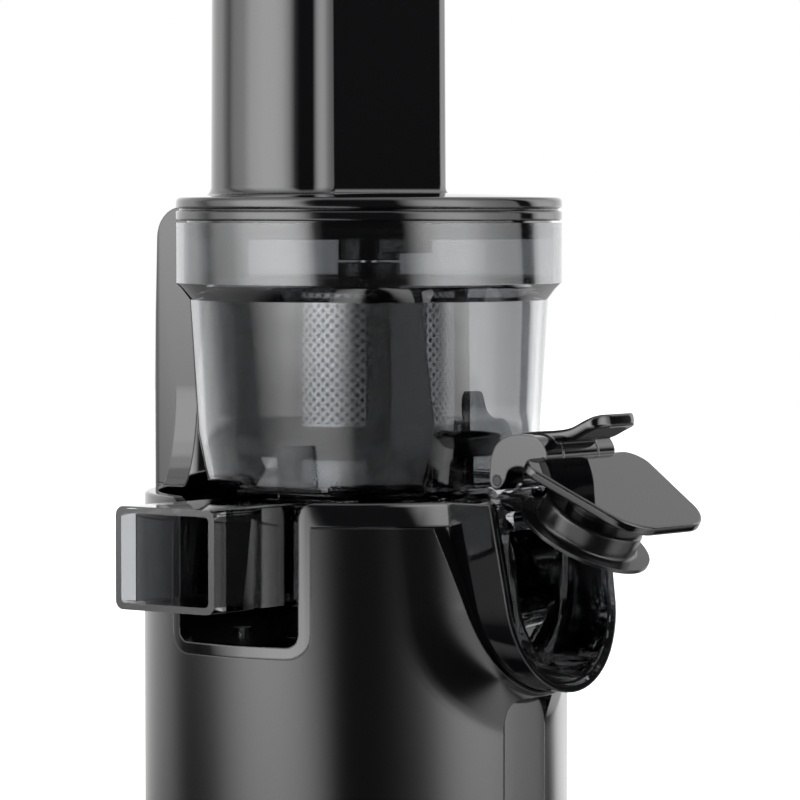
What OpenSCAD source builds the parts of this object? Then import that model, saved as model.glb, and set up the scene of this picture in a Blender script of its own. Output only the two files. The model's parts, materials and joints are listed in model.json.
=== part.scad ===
// Cold press juicer: a round body with a rear post, a clear bowl with two spouts,
// a strainer with a wiper and an auger inside it, a lid with a feed chute, and a pusher.
// The drive axis is the Z axis. The juice spout faces -Y, the pulp spout faces -X and the
// rear post stands at +Y. The feet stand on the plane Z = 0.

/* [Overall] */
// Height of the body rim above the table
rim_h = 180; // [178:1:190]
// Height of the rubber feet under the bottom cover
foot_h = 3; // [2:0.5:4]

/* [Body] */
// Distance by which the round body stands out beyond the bowl's band
body_over = 6.4; // [6:0.1:7.5]
// Distance of the body's centre behind the drive axis
body_back = 5.5; // [5:0.1:6]
// Wall of the body shell
body_wall = 2.6; // [2.2:0.1:3]
// Rounding of the body's lower edge
body_round = 5; // [3:0.5:7]
// Height of the gloss band under the rim
band_h = 7.8; // [6.5:0.1:9]
// Width of the gloss frame round the openings
frame_w = 3.8; // [3:0.1:4.5]

/* [Pulp window] */
// Front edge of the pulp window, ahead of the drive axis
window_front = 22; // [21.5:0.1:24]
// Rear edge of the pulp window, behind the drive axis
window_rear = 25.5; // [24:0.1:28]
// Depth of the pulp window below the rim
window_drop = 46.7; // [44:0.1:48]
// Corner rounding of the pulp window
window_round = 4; // [2:0.5:6]

/* [Bowl] */
// Radius of the band at the top of the bowl
bowl_band_r = 64.3; // [63.8:0.1:64.6]
// Height of the bowl's top edge above the rim
bowl_top = 89.3; // [87:0.1:92]
// Height of the band at the top of the bowl
bowl_band_h = 20; // [17:0.5:22]
// Distance by which the band stands out from the bowl's wall
band_out = 4.6; // [4:0.1:5.2]
// Distance by which the bowl's wall draws in down to its foot
bowl_taper = 5.3; // [4:0.1:6]
// Wall of the bowl
bowl_wall = 2.6; // [2.2:0.1:3]

/* [Pulp spout] */
// Distance of the pulp spout's mouth from the drive axis
pulp_reach = 105; // [98:1:112]
// Width of the pulp spout at its mouth
pulp_w = 40.8; // [39:0.1:42]
// Depth of the pulp spout's floor below the rim
pulp_drop = 33.5; // [31:0.1:36]
// Wall of the pulp spout
pulp_wall = 2.2; // [1.8:0.1:2.6]

/* [Juice spout] */
// Radius of the round bottom of the spout's lip
lip_r = 28; // [26.5:0.1:29]
// Half width of the lip at its top
lip_half = 30; // [29:0.1:31]
// Depth of the centre of the lip's arc below the rim
lip_centre_drop = 32; // [30:0.5:34]
// Distance of the lip's top edge ahead of the body's wall
lip_out = 9.8; // [9:0.1:12]
// Lean of the lip in degrees, its foot ahead of its top
lip_lean = 9; // [6:0.5:11]
// Radius of the juice outlet behind the lip
outlet_r = 17.6; // [15:0.1:18]

/* [Juice cap] */
// Angle in degrees through which the open cap turns to close
cap_open = 51.5; // [45:0.5:55]
// Length of the cap's plate
cap_len = 44; // [42:0.5:48]
// Half width of the cap's plate at its hinged end
cap_half = 32.5; // [31:0.5:34]
// Thickness of the cap's plate
cap_t = 3.4; // [3:0.1:4]
// Radius of the soft plug's flange
plug_r = 22.5; // [21:0.1:23]

/* [Strainer and wiper] */
// Gap between the strainer's lower sleeve and the teeth of the tall idler gear
sieve_play = 0.5; // [0.4:0.1:0.6]
// Thickness of the wiper's blades
blade_t = 2; // [1.5:0.1:3]
// Height of the wiper's toothed ring above the rim
wiper_z = 12.8; // [12:0.1:14]
// Height of the wiper's toothed ring
wiper_ring_h = 6; // [5:0.1:7]

/* [Gears] */
// Distance of the pitch circle of the wiper's toothed ring from the bowl's wall at its foot
ring_set = 13.45; // [13.3:0.05:13.8]
// Play between the flanks of two teeth
backlash = 0.34; // [0.3:0.01:0.4]

/* [Auger] */
// Gap between the auger's flights and the strainer's sleeves
auger_gap = 0.8; // [0.6:0.1:1.4]
// Radius of the auger's core at its foot, as a share of the sleeves' radius
core_foot_share = 0.51; // [0.5:0.005:0.56]
// Radius of the auger's core under its shoulder, as a share of the sleeves' radius
core_top_share = 0.335; // [0.32:0.005:0.37]
// Turns that a flight makes
flight_turns = 1.75; // [1.25:0.25:2.25]

/* [Lid and chute] */
// Height of the lid's underside above the rim
lid_z = 90; // [89.7:0.1:92.5]
// Height of the lid's edge
lid_t = 7.7; // [7:0.1:9]
// Radius of the feed chute's round side, as a share of the lid's radius
chute_share = 0.645; // [0.62:0.005:0.66]
// Distance of the chute's centre behind the drive axis, as a share of the lid's radius
chute_back_share = 0.2255; // [0.218:0.001:0.24]
// Distance of the chute's flat side ahead of the drive axis, as a share of the lid's radius
chute_flat_share = 0.1245; // [0.11:0.001:0.14]
// Height of the chute above the lid
chute_h = 115; // [95:1:130]
// Wall of the chute
chute_wall = 2.5; // [2:0.1:3]

/* [Pusher] */
// Gap between the pusher and the chute
pusher_gap = 1; // [0.8:0.1:1.5]
// Wall of the pusher
pusher_wall = 2.2; // [1.8:0.1:2.8]
// Height of the pusher's grip above the chute
grip_h = 32; // [26:1:40]

/* [Rear post] */
// Half width of the post
post_half = 12.5; // [11:0.5:14]
// Distance by which the post stands out behind the body, at its foot
post_out = 9.8; // [8.8:0.1:12]
// Distance by which the post's rear face leans in towards its top
post_lean = 3.6; // [2.5:0.1:4.5]
// Height of the post above the rim
post_top = 94.5; // [93.5:0.5:96]

/* [Controls] */
// Half width of the front panel
panel_half = 11.4; // [10.5:0.1:12.5]
// Radius of the push buttons
button_r = 7.2; // [6:0.1:7.6]
// Travel of the push buttons
button_travel = 1.2; // [0.8:0.1:1.4]
// Height of the upper button above the table
button_z = 58; // [55:1:60]
// Distance between the two buttons
button_pitch = 24; // [20:1:25]

/* [Hidden] */

satin_black = "#26272a";
gloss_black = "#0d0d0f";
smoke = "#6b6d70";
steel = "#b9bcc0";
soft_grey = "#3a3b3d";

// How far a cut runs past the face that it opens
overrun = 1;
// Facets of a full round wall
$fn = 96;
// Gap between two pieces of different bodies
gap = 0.4;
// Gap between two pieces that are fixed together
fit = 0.2;
// Radial clearance of a shaft or pin in its bore
running = 0.06;

// The bowl's wall, the gear teeth's size and the drive shaft, each from the one before
bowl_upper_r = bowl_band_r - band_out;
bowl_foot_r = bowl_upper_r - bowl_taper;
pinion_teeth = 24;
flat_teeth = 17;
tall_teeth = 10;
ring_teeth = pinion_teeth + 2 * flat_teeth + 2 * tall_teeth;
ring_r = bowl_foot_r - ring_set;
// Size of the teeth, the pitch diameter divided by their number
tooth_module = 2 * ring_r / ring_teeth;
pinion_r = tooth_module * pinion_teeth / 2;
recess_share = 0.607;
shaft_share = 0.476;
shaft_r = pinion_r * shaft_share;
hex_share = 0.9;
hex_r = shaft_r * hex_share;

// Places and radii round the body, from its own centre
body_r = bowl_band_r + body_over;
body_front = body_r - body_back;
shell_in = body_r - body_wall;
collar_out = shell_in - fit;
collar_wall = 1.7;
well_r = collar_out - collar_wall;
edge_round = 1.2;
// Place of the body's lower edge above the bottom cover's underside
body_lift = 1;
body_foot = foot_h + body_lift;

// Floor of the well in the top of the body
well_margin = 0.6;
// Rounding of the rim where the pulp window and the juice spout's U begin
window_corner = 5.5;
spout_corner = 3;
well_drop = window_drop + well_margin;
deck_t = 3;
deck_bottom = -well_drop - deck_t;

// Gloss frame round the juice spout
spout_gap = 1;
tube_inset = 0.8;
collar_grow_in = spout_gap - tube_inset;
frame_grow = 2.3;
spout_top = -1;
nose_lip = 1.2;
// Places of the flare, the seam and the spout's parts from the body's wall
nose_out = 8.8;
seam_set = 8.2;
root_set = 21.2;
collar_set = 7.4;
seat_set = 1;
hinge_out = 1.8;
board_set = 13.2;
nose_round = 14;
nose_steps = 4;
nose_front = body_front + nose_out;
seam_top_front = body_front - seam_set;
seam_top_drop = 8.6;
seam_lean = 17.5;
spout_root = body_front - root_set;
// Wall of the collar that closes the U under the well's floor
collar_back = body_front - collar_set;
collar_back_t = 2.8;
lip_front = body_front + lip_out;
slice_t = 0.01;
// Share by which two radii differ at least
speck = 0.0001;

// Rear spine and post
spine_round = 5;
post_gap = 1.2;
post_front = bowl_band_r + post_gap;
post_rear = body_back + body_r + post_out;
post_wall = 2.4;
post_flare = 12;
post_flare_h = 34;
post_top_round = 11;
cover_t = 2.2;
tongue_half = 5;
tongue_reach = 7;
tongue_t = 3;
magnet_w = 6;
magnet_d = 3;
magnet_h = 2;
switch_w = 12;
switch_d = 6;
switch_h = 9;
switch_drop = 24;

// Front panel and its buttons
panel_front = body_front;
panel_gap = 0.3;
panel_round = 4.5;
panel_top_drop = 64.5;
panel_foot = 16;
panel_t = 2.2;
button_gap = 0.4;
button_t = 3.2;
button_proud = 0.9;
button_flange = 1.2;
button_flange_t = 1;
stem_r = 2.2;
switch_cap_gap = 0.3;
lens_r = 1.4;
lens_above = 14;

// Control board behind the front panel
board_front = body_front - board_set;
board_t = 1.6;
board_half = 18;
board_z0 = 22;
board_z1 = 88;
board_edge = 4;
post_r_small = 2.6;
board_chip = 8;
board_chip_t = 3;
tact_half = 3;
tact_t = 2.6;
// Length of a board leg, up to the inside of the shell
board_leg = sqrt(pow(shell_in, 2) - pow(board_half - board_edge + post_r_small, 2))
    - body_back - board_front - fit;

// Bottom cover, feet and fasteners
cover_thick = 3;
cover_gap = 0.3;
foot_r = 8;
foot_ring_share = 0.76;
foot_sink = 1.2;
screw_ring_set = 4.77;
screw_r = 1.7;
screw_head_r = 3.2;
screw_head_t = 2;
screw_len = 12;
screw_angles = [20, 160, 200, 340];
boss_r = 5.6;
boss_h = 14;
vent_pitch = 7;
vent_w = 2.4;
vent_count = 4;
vent_r = 34;

// Power inlet
inlet_half_w = 9.6;
inlet_half_h = 5.6;
inlet_depth = 12;
inlet_wall = 1.6;
inlet_flange = 1.8;
inlet_flange_t = 1.4;
inlet_up = 12;
inlet_pin_r = 1.2;
inlet_pin_pitch = 8.6;

// Motor and gearbox
gearbox_out = 5;
gearbox_r = bowl_foot_r * recess_share + gearbox_out;
gearbox_h = 34;
gearbox_lid_set = 8;
gearbox_lid_r = gearbox_r - gearbox_lid_set;
gearbox_lid_h = 4;
ear_r = 5;
ear_ring_share = 1.12;
motor_out = 4;
motor_r = gearbox_r + motor_out;
motor_rise = 27.7;
motor_h = rim_h + deck_bottom - gearbox_h - motor_rise;
motor_gap = 0.2;
bell_r = gearbox_lid_r;
bell_h = 8;
motor_band_h = 12;
motor_rib_t = 1.2;

// Drive shaft
shaft_top = 24;
hex_foot = -8;
bush_wall = 2.4;
hub_wall = 2.6;
hub_top = -18;
seal_h = 3;
seal_gap = 0.3;

// Bowl floor and gear recess
band_foot = bowl_top - bowl_band_h;
floor_z = -0.5;
floor_t = 3;
floor_top = floor_z + floor_t;
recess_r = bowl_foot_r * recess_share;
recess_wall = 3;
recess_drop = 14;
recess_floor = -recess_drop + floor_t;
foot_round = 6;
ledge_h = 5.5;
shoulder_r = 1.7;
waist_up = 20;
waist_swell = 2.7;
hub_bore_share = 1.167;
hub_share = 1.367;
bowl_hub_bore = shaft_r * hub_bore_share;
bowl_hub_r = shaft_r * hub_share;
bowl_hub_top = -3.4;
seat_play = 1;
seat_wall = 8;
seat_r1 = recess_r + seat_play;
seat_r0 = seat_r1 - seat_wall;

// Pulp duct
duct_narrow = 1.2;
duct_half = pulp_w / 2 - duct_narrow;
duct_root = 15;
duct_round = 3;
duct_straight_share = 0.93;
plug_slot_len = 16;
plug_slot_half = 9;
plug_lip = 1.5;

// Juice chamber and seat of the plug
lip_t = 4.4;
roof_short = 3;
tray_back = collar_back + collar_back_t + spout_gap;
inlet_hole_half = 13;
inlet_hole_d = 6;
recess_front_r = 24.6;
outlet_drop = 21.5;
seat_front = body_front - seat_set;
tray_wall = 4;
drain_back = 3;

// Hinge of the juice cap
hinge_front = body_front + hinge_out;
hinge_up = 6.5;
hinge_pin_r = 1.5;
hinge_r = 3;
hinge_half = 19;
knuckle_half = 9;
knuckle_gap = 0.4;
stalk_t = 4;
plate_taper = 7;
plate_round = 15;
arm_half = 11.5;
lever_t = 4.2;
plug_wall_r = 17;
plug_neck_r = 9.5;
plug_flange_t = 2.6;
plug_wall_h = 8;
plug_nose_r = 15.8;
plug_round = 1.5;
plate_z = 20;
plate_end = 15.7;
lever_reach = 35;
// Upper side of the lever ahead of and above the hinge, as shares of its reach
lever_shares = [[-0.085, 0], [-0.07, 0.2], [0.0, 0.36], [0.12, 0.43], [0.3, 0.455], [0.5, 0.47],
    [0.66, 0.5], [0.8, 0.565], [0.92, 0.615], [1, 0.63]];
// Side of the arms that carry the plate, as shares of the lever's reach
arm_shares = [[-0.085, 0], [-0.07, 0.2], [0.0, 0.36], [0.15, 0.44], [0.32, 0.45], [0.47, 0.4], [0.56, 0.27],
    [0.52, 0.15], [0.38, 0.12], [0.24, 0.14], [0.13, 0.1], [0.085, 0]];
lever_steps = 3;

// Gear train, all in line from the drive axis towards the juice spout
wiper_rim = 1.8;
// Heights of the teeth beyond and depths below the pitch circle, in modules
tooth_head = 0.9;
tooth_foot = 1.2;
ring_foot = 1.2;
ring_head = 0.85;
pressure = 20;
flat_r = tooth_module * flat_teeth / 2;
tall_r = tooth_module * tall_teeth / 2;
flat_front = pinion_r + flat_r;
tall_front = flat_front + flat_r + tall_r;
gear_z = recess_floor + 2;
gear_h = 5.5;
gear_pin_r = 2;
pocket_gap = 2.2;
pocket_r = tall_r + pocket_gap;
pocket_wall = 2.4;
// Share of the wiper's toothed ring that the tall idler gear reaches into
tall_mesh_share = 0.4;
tall_top = wiper_z + wiper_ring_h * tall_mesh_share;
gear_top_clear = bowl_hub_top + gap;
ring_out = ring_r + ring_foot * tooth_module + wiper_rim;

// Strainer
sieve_t = 0.6;
sieve_r = tall_front - tall_r - tooth_head * tooth_module - sieve_play - sieve_t;
sieve_out = sieve_r + sieve_t;
sleeve_gap = 0.15;
frame_in = sieve_out + sleeve_gap;
rib_t = 1.8;
rib_count = 4;
strainer_base_z = -1.6;
strainer_base_t = 2.6;
base_gap = 0.6;
base_r = recess_r - base_gap;
band_z0 = 11.5;
band_z1 = 22.5;
funnel_t = 2;
pulp_hole_set = 1.6;
pulp_hole_half = 14;
collar_t = 1.4;
pillar_turn = 190.8;
window_angle = 50.5;
band_low = 4;
sieve_top = 65.2;
shelf_t = 1;
funnel_z = band_foot + fit;
core_foot_r = sieve_r * core_foot_share;
neck_set = 0.1;
neck_hole_r = core_foot_r - neck_set;
pulp_hole_r0 = neck_hole_r + pulp_hole_set;
neck_r = neck_hole_r - 2 * gap;
sieve_lap = 2;

// Wiper
wiper_arm_half = 8;
wiper_arm_t = 1.7;
wiper_count = 3;
wiper_turn = 117;
wiper_top_h = 2.2;
wiper_top = sieve_top + shelf_t + gap + wiper_top_h;
wiper_hub_r = sieve_out + rib_t + gap;
wiper_hub_t = 3;
blade_gap = 0.5;

// Auger
auger_r = sieve_r - auger_gap;
core_top_r = sieve_r * core_top_share;
auger_foot = 2;
auger_shoulder = 62;
auger_hub_r = 10.5;
auger_hub_top = 76;
auger_hub_gap = 1.2;
auger_pin_r = 4;
auger_pin_top = 85;
auger_pin_sink = 6;
flight_root_t = 5;
flight_tip_t = 1.8;
flight_count = 2;
flight_steps = 20;
// Shares of the full width that a flight keeps at its ends
flight_end_share = 0.25;
flight_top_share = 0.4;
flight_foot = 5;
flight_top = 61;
socket_wall = 2;
socket_top = 27;
hub_gap = 0.6;
pinion_bore = bowl_hub_r + hub_gap;

// Lid
lid_r = bowl_band_r;
chute_r = lid_r * chute_share;
chute_back = lid_r * chute_back_share;
chute_flat = lid_r * chute_flat_share;
lid_lip = 1.6;
lid_wall = 2.4;
lid_dome = 1.5;
lid_hub_z = auger_hub_top + auger_hub_gap;
lid_hub_wall = 4.4;
bush_t = 2;
bridge_half = 7;
bridge_front = 21;
lid_skirt_gap = 0.8;
lid_skirt_t = 2;
lid_skirt_h = 6;
// Shares of the lid's edge where its groove begins and ends
groove_low_share = 0.42;
groove_high_share = 0.58;
// Shares of the skirt where the seal lies
seal_low_share = 0.7;
seal_high_share = 0.35;
chute_corner_share = 0.265;
chute_corner = chute_r * chute_corner_share;
lid_hub_r = auger_pin_r + bush_t + lid_hub_wall;
skirt_r = bowl_band_r - bowl_wall - lid_skirt_gap - gap;

// Pusher
pusher_rise = 3;
pusher_floor = 3;
grip_over = 1.6;
grip_plate = 3;
grip_neck = 6;

// A point list along a circle's arc round (cx, cy)
function arc(cx, cy, r, a0, a1, n = 8) =
    [for (i = [0 : n]) let (a = a0 + (a1 - a0) * i / n) [cx + r * cos(a), cy + r * sin(a)]];

// A rectangle with round corners
function rounded(x0, x1, y0, y1, r, n = 6) = concat(
    arc(x1 - r, y1 - r, r, 0, 90, n), arc(x0 + r, y1 - r, r, 90, 180, n),
    arc(x0 + r, y0 + r, r, 180, 270, n), arc(x1 - r, y0 + r, r, 270, 360, n));

// The juice spout's outline in X and Z, moved out by grow, up to the height top
function spout_outline(grow, top) =
    let (half = lip_half + grow, ends = top > spout_top ? [top, spout_top] : [top])
    concat([for (z = ends) [-half, z]],
        arc(0, -lip_centre_drop, lip_r + grow, 180, 360, 28),
        [for (i = [len(ends) - 1 : -1 : 0]) [half, ends[i]]]);

// The chute's outline, drawn in by inset from its outer face
function chute_outline(inset) =
    let (
        rc = chute_corner - inset,
        r = chute_r - inset,
        y = -chute_flat + inset + rc,
        x = sqrt(pow(r - rc, 2) - pow(y - chute_back, 2)),
        a = atan2(y - chute_back, x)
    ) concat(arc(0, chute_back, r, a, 180 - a, 48), arc(-x, y, rc, 180 - a, 270, 8),
        arc(x, y, rc, 270, 360 + a, 8));

// Points of a smooth curve through all the given points, n to each stretch
function curve(p, n) = let (last = len(p) - 1) concat(
    [for (i = [0 : last - 1], k = [0 : n - 1]) let (
        t = k / n,
        a = p[max(0, i - 1)], b = p[i], c = p[i + 1], d = p[min(last, i + 2)]
    ) (2 * b + (c - a) * t + (2 * a - 5 * b + 4 * c - d) * t * t + (3 * b - a - 3 * c + d) * t * t * t) / 2],
    [p[last]]);

// Moves what is drawn from the rim's height to its place
module at_rim() translate([0, 0, rim_h]) children();

// Stretches a flat X-Z outline from near to far ahead of the drive axis
module ahead(near, far) translate([0, -near, 0]) rotate([90, 0, 0])
    linear_extrude(far - near) children();

// Stretches a flat Y-Z outline from near to far on the pulp spout's side
module aside(near, far) translate([-far, 0, 0]) rotate([90, 0, 90])
    linear_extrude(far - near) children();

module tube(outer, inner, z0, z1) translate([0, 0, z0]) difference() {
    cylinder(r = outer, h = z1 - z0);
    translate([0, 0, -overrun]) cylinder(r = inner, h = z1 - z0 + 2 * overrun);
}

module disc(r, z0, z1) translate([0, 0, z0]) cylinder(r = r, h = z1 - z0);

// Angle of the involute at a radius, for a gear of pitch radius rp
function involute(rp, r) =
    let (a = acos(min(1, rp * cos(pressure) / r))) tan(a) - a * PI / 180;

// Half the angle in degrees that a tooth takes at radius r, with play taken off
function half_tooth(rp, n, r, play) =
    (PI / (2 * n) - play / (2 * rp) + involute(rp, rp) - involute(rp, r)) * 180 / PI;

// The outline of a spur gear with a tooth at angle 0
function gear_outline(n, add, ded, play) =
    let (
        rp = tooth_module * n / 2,
        base = rp * cos(pressure),
        foot = rp - ded * tooth_module,
        start = max(foot, base),
        tip = rp + add * tooth_module,
        radii = [start, (start + rp) / 2, rp, (rp + tip) / 2, tip]
    )
    [for (i = [0 : n - 1]) let (a = 360 * i / n) each concat(
        [[foot, a - half_tooth(rp, n, start, play)]],
        [for (r = radii) if (r > foot * (1 + speck)) [r, a - half_tooth(rp, n, r, play)]],
        [for (k = [4 : -1 : 0]) if (radii[k] > foot * (1 + speck))
            [radii[k], a + half_tooth(rp, n, radii[k], play)]],
        [[foot, a + half_tooth(rp, n, start, play)]])];

module gear(n, h, turn, add = tooth_head, ded = tooth_foot, play = backlash / 2) rotate(turn)
    linear_extrude(h) polygon([for (p = gear_outline(n, add, ded, play))
        [p[0] * cos(p[1]), p[0] * sin(p[1])]]);

// Cuts off what lies ahead of the leaning lip plane, moved by shift
module lip_cut(shift) translate([0, -lip_front - shift, spout_top]) rotate([-lip_lean, 0, 0])
    translate([-body_r, -2 * body_r, -2 * body_r]) cube([2 * body_r, 2 * body_r, 4 * body_r]);

// The plan of the rear spine, which the post stands on
module spine_plan(grow = 0) polygon(concat(
    arc(post_half - spine_round, post_rear - spine_round, spine_round + grow, 0, 90, 6),
    arc(-post_half + spine_round, post_rear - spine_round, spine_round + grow, 90, 180, 6),
    [[-post_half - grow, 0], [post_half + grow, 0]]));

module window_prism(grow, top) aside(0, 2 * body_r) polygon(rounded(
    -window_front - grow, window_rear + grow, -window_drop - grow, top, window_round + grow));

// The flare that carries the body's wall out to the juice spout
module nose() difference() {
    for (i = [0 : nose_steps - 1]) hull() {
        nose_slice(i);
        nose_slice(i + 1);
    }
    translate([0, -seam_top_front, -seam_top_drop]) rotate([-seam_lean, 0, 0])
        translate([-body_r, -2 * body_r, -2 * body_r])
            cube([2 * body_r, 2 * body_r, 4 * body_r]);
}

module nose_slice(i) {
    a = 90 * i / nose_steps;
    front = nose_front - nose_round * sin(a);
    grow = frame_grow + nose_lip + nose_round * (1 - cos(a));
    ahead(front - slice_t, front) polygon(spout_outline(grow, -band_h));
}

module body_shell() color(satin_black) {
    shell_wall();
    shell_bosses();
}

module shell_wall() at_rim() difference() {
    union() {
        translate([0, body_back, 0]) rotate_extrude() polygon(concat(
            [[0, -band_h], [0, -rim_h + body_foot]],
            arc(body_r - body_round, -rim_h + body_foot + body_round, body_round, 270, 360, 6),
            [[body_r, -band_h]]));
        translate([0, 0, -rim_h + body_foot]) linear_extrude(rim_h - body_foot - band_h)
            spine_plan();
        nose();
    }
    translate([0, body_back, -rim_h]) cylinder(r = shell_in, h = rim_h);
    window_prism(frame_w, overrun);
    ahead(0, 2 * body_r) polygon(spout_outline(frame_grow, overrun));
    ahead(0, 2 * body_r) panel_outline(0);
    translate([0, 0, inlet_up - rim_h + body_foot]) inlet_block(fit, overrun);
}

module panel_outline(inset) polygon(rounded(-panel_half + inset, panel_half - inset,
    panel_foot - rim_h + inset, -panel_top_drop - inset, panel_round - inset));

module inlet_block(grow, out) translate([0, post_rear - inlet_depth, 0])
    translate([-inlet_half_w - grow, 0, -grow])
        cube([2 * (inlet_half_w + grow), inlet_depth + out, 2 * (inlet_half_h + grow)]);

module top_collar() color(gloss_black) at_rim() difference() {
    union() {
        translate([0, body_back, 0]) rotate_extrude() polygon(concat(
            [[0, -band_h], [body_r, -band_h]],
            arc(body_r - edge_round, -edge_round, edge_round, 0, 90, 4), [[0, 0]]));
        translate([0, body_back, deck_bottom]) cylinder(r = collar_out, h = -deck_bottom);
        translate([0, 0, -band_h]) linear_extrude(band_h) spine_plan();
        intersection() {
            window_prism(frame_w, 0);
            translate([0, body_back, deck_bottom - overrun]) cylinder(r = body_r, h = rim_h);
        }
        difference() {
            ahead(collar_back, 2 * body_r) polygon(spout_outline(frame_grow, 0));
            lip_cut(-spout_gap);
        }
        // joins the sides of the U to the well's wall
        intersection() {
            ahead(spout_root, collar_back + overrun) polygon(spout_outline(frame_grow, 0));
            translate([-body_r, -body_r, deck_bottom]) cube([2 * body_r, body_r, -deck_bottom]);
        }
    }
    translate([0, body_back, deck_bottom - fit]) cylinder(r = well_r, h = rim_h);
    window_prism(0, overrun + window_round);
    aside(0, 2 * body_r) {
        rim_corner(-window_front, -window_corner);
        rim_corner(window_rear, window_corner);
    }
    ahead(spout_root, 2 * body_r) {
        rim_corner(-lip_half - collar_grow_in, -spout_corner);
        rim_corner(lip_half + collar_grow_in, spout_corner);
    }
    ahead(collar_back + collar_back_t, 2 * body_r) polygon(spout_outline(collar_grow_in, overrun));
    intersection() {
        ahead(0, 2 * body_r) polygon(spout_outline(collar_grow_in, overrun));
        translate([-body_r, -body_r, -well_drop]) cube(2 * body_r);
    }
}

// Rounds the corner between the rim and an opening whose side is at x
module rim_corner(x, r) polygon(concat(
    [for (p = arc(abs(r), -abs(r), abs(r), 90, 180, 8)) [x + sign(r) * p[0], p[1]]],
    [[x - sign(r) * overrun, -abs(r)], [x - sign(r) * overrun, overrun], [x + r, overrun]]));

module drive_deck() color(satin_black) at_rim() difference() {
    union() {
        translate([0, body_back, deck_bottom]) cylinder(r = well_r - fit, h = deck_t);
        disc(shaft_r + bush_wall + hub_wall, deck_bottom, hub_top);
        difference() {
            tube(seat_r1, seat_r0, -well_drop - overrun, -recess_drop - gap);
            aside(0, 2 * body_r) square_between(-pulp_w / 2 - gap - overrun,
                pulp_w / 2 + gap + overrun, -pulp_drop - plug_lip - overrun, 0);
        }
        for (a = [0 : 60 : 300]) if (a != 180) rotate(a)
            translate([shaft_r + bush_wall + hub_wall - overrun, -deck_t / 2, -well_drop - overrun])
                cube([seat_r0 - shaft_r - bush_wall - hub_wall + 2 * overrun, deck_t,
                    well_drop - pulp_drop - overrun]);
    }
    disc(shaft_r + bush_wall, deck_bottom - overrun, 0);
    for (a = [45 : 90 : 315]) rotate(a) translate([gearbox_r * ear_ring_share, 0, 0])
        disc(screw_r + fit, deck_bottom - overrun, -well_drop + overrun);
}

module square_between(x0, x1, y0, y1) translate([x0, y0]) square([x1 - x0, y1 - y0]);

module shaft_bush() color("#a07c4a") at_rim()
    tube(shaft_r + bush_wall, shaft_r + running, deck_bottom, hub_top - seal_h);

module drive_seal() color(soft_grey) at_rim()
    tube(shaft_r + bush_wall, shaft_r + seal_gap, hub_top - seal_h, hub_top);

module drive_shaft() color(steel) at_rim() union() {
    disc(shaft_r, deck_bottom - gearbox_lid_h, hex_foot);
    translate([0, 0, hex_foot]) rotate(30) cylinder(r = hex_r, h = shaft_top - hex_foot, $fn = 6);
}

module gearbox() color("#8d9094") at_rim() difference() {
    union() {
        disc(gearbox_r, deck_bottom - gearbox_h, deck_bottom - gearbox_lid_h);
        disc(gearbox_lid_r, deck_bottom - gearbox_lid_h, deck_bottom - fit);
        for (a = [45 : 90 : 315]) rotate(a) hull() {
            translate([gearbox_r * ear_ring_share, 0, 0])
                disc(ear_r, deck_bottom - gearbox_h / 2, deck_bottom - fit);
            translate([gearbox_r - 2 * ear_r, 0, 0])
                disc(ear_r, deck_bottom - gearbox_h / 2, deck_bottom - fit);
        }
    }
    disc(shaft_r + fit, deck_bottom - gearbox_lid_h - fit, 0);
    for (a = [45 : 90 : 315]) rotate(a) translate([gearbox_r * ear_ring_share, 0, 0])
        disc(screw_r + fit, deck_bottom - gearbox_h, 0);
}

module gearbox_screws() color(steel) at_rim() for (a = [45 : 90 : 315]) rotate(a)
    translate([gearbox_r * ear_ring_share, 0, 0]) {
        disc(screw_r, deck_bottom - screw_len, -well_drop);
        disc(screw_head_r, -well_drop, -well_drop + screw_head_t);
    }

module motor() color("#a9acb0") at_rim() translate([0, 0, deck_bottom - gearbox_h]) union() {
    disc(motor_r - motor_rib_t, -motor_h + bell_h, -motor_gap - bell_h);
    disc(motor_r, -motor_h / 2 - motor_band_h / 2, -motor_h / 2 + motor_band_h / 2);
    disc(bell_r, -motor_gap - bell_h, -motor_gap);
    disc(bell_r, -motor_h, -motor_h + bell_h);
    for (a = [0 : 30 : 330]) rotate(a) translate([bell_r - overrun, -motor_rib_t / 2, -motor_gap - bell_h])
        cube([motor_r - bell_r - motor_rib_t, motor_rib_t, bell_h / 2]);
}

module front_panel() color(gloss_black) at_rim() difference() {
    intersection() {
        difference() {
            union() {
                translate([0, body_back, -rim_h]) cylinder(r = body_r, h = rim_h);
                nose();
            }
            translate([0, body_back, -rim_h - overrun])
                cylinder(r = body_r - panel_t, h = rim_h + 2 * overrun);
        }
        ahead(0, 2 * body_r) panel_outline(panel_gap);
    }
    for (z = button_places()) translate([0, 0, z - rim_h]) rotate([90, 0, 0])
        cylinder(r = button_r + button_gap, h = 2 * body_r);
    translate([0, 0, button_z + lens_above - rim_h]) rotate([90, 0, 0])
        cylinder(r = lens_r + fit, h = 2 * body_r);
}

function button_places() = [button_z, button_z - button_pitch];

module indicator_lens() color("#d7dade") translate([0, -panel_front + panel_t, button_z + lens_above])
    rotate([90, 0, 0]) cylinder(r = lens_r, h = panel_t + fit, $fn = 32);

// A round button with a guide flange behind the panel and a stem that meets its switch
module button(z) translate([0, -panel_front, z]) rotate([-90, 0, 0]) union() {
    translate([0, 0, -button_proud]) cylinder(r = button_r, h = button_proud + button_t);
    translate([0, 0, button_t]) cylinder(r = button_r + button_flange, h = button_flange_t);
    translate([0, 0, button_t]) cylinder(r = stem_r, h = panel_front - board_front - button_t
        - tact_t - button_travel - switch_cap_gap);
}

module power_button() color("#1a1a1c") button(button_z);

module reverse_button() color("#1a1a1c") button(button_z - button_pitch);

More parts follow.
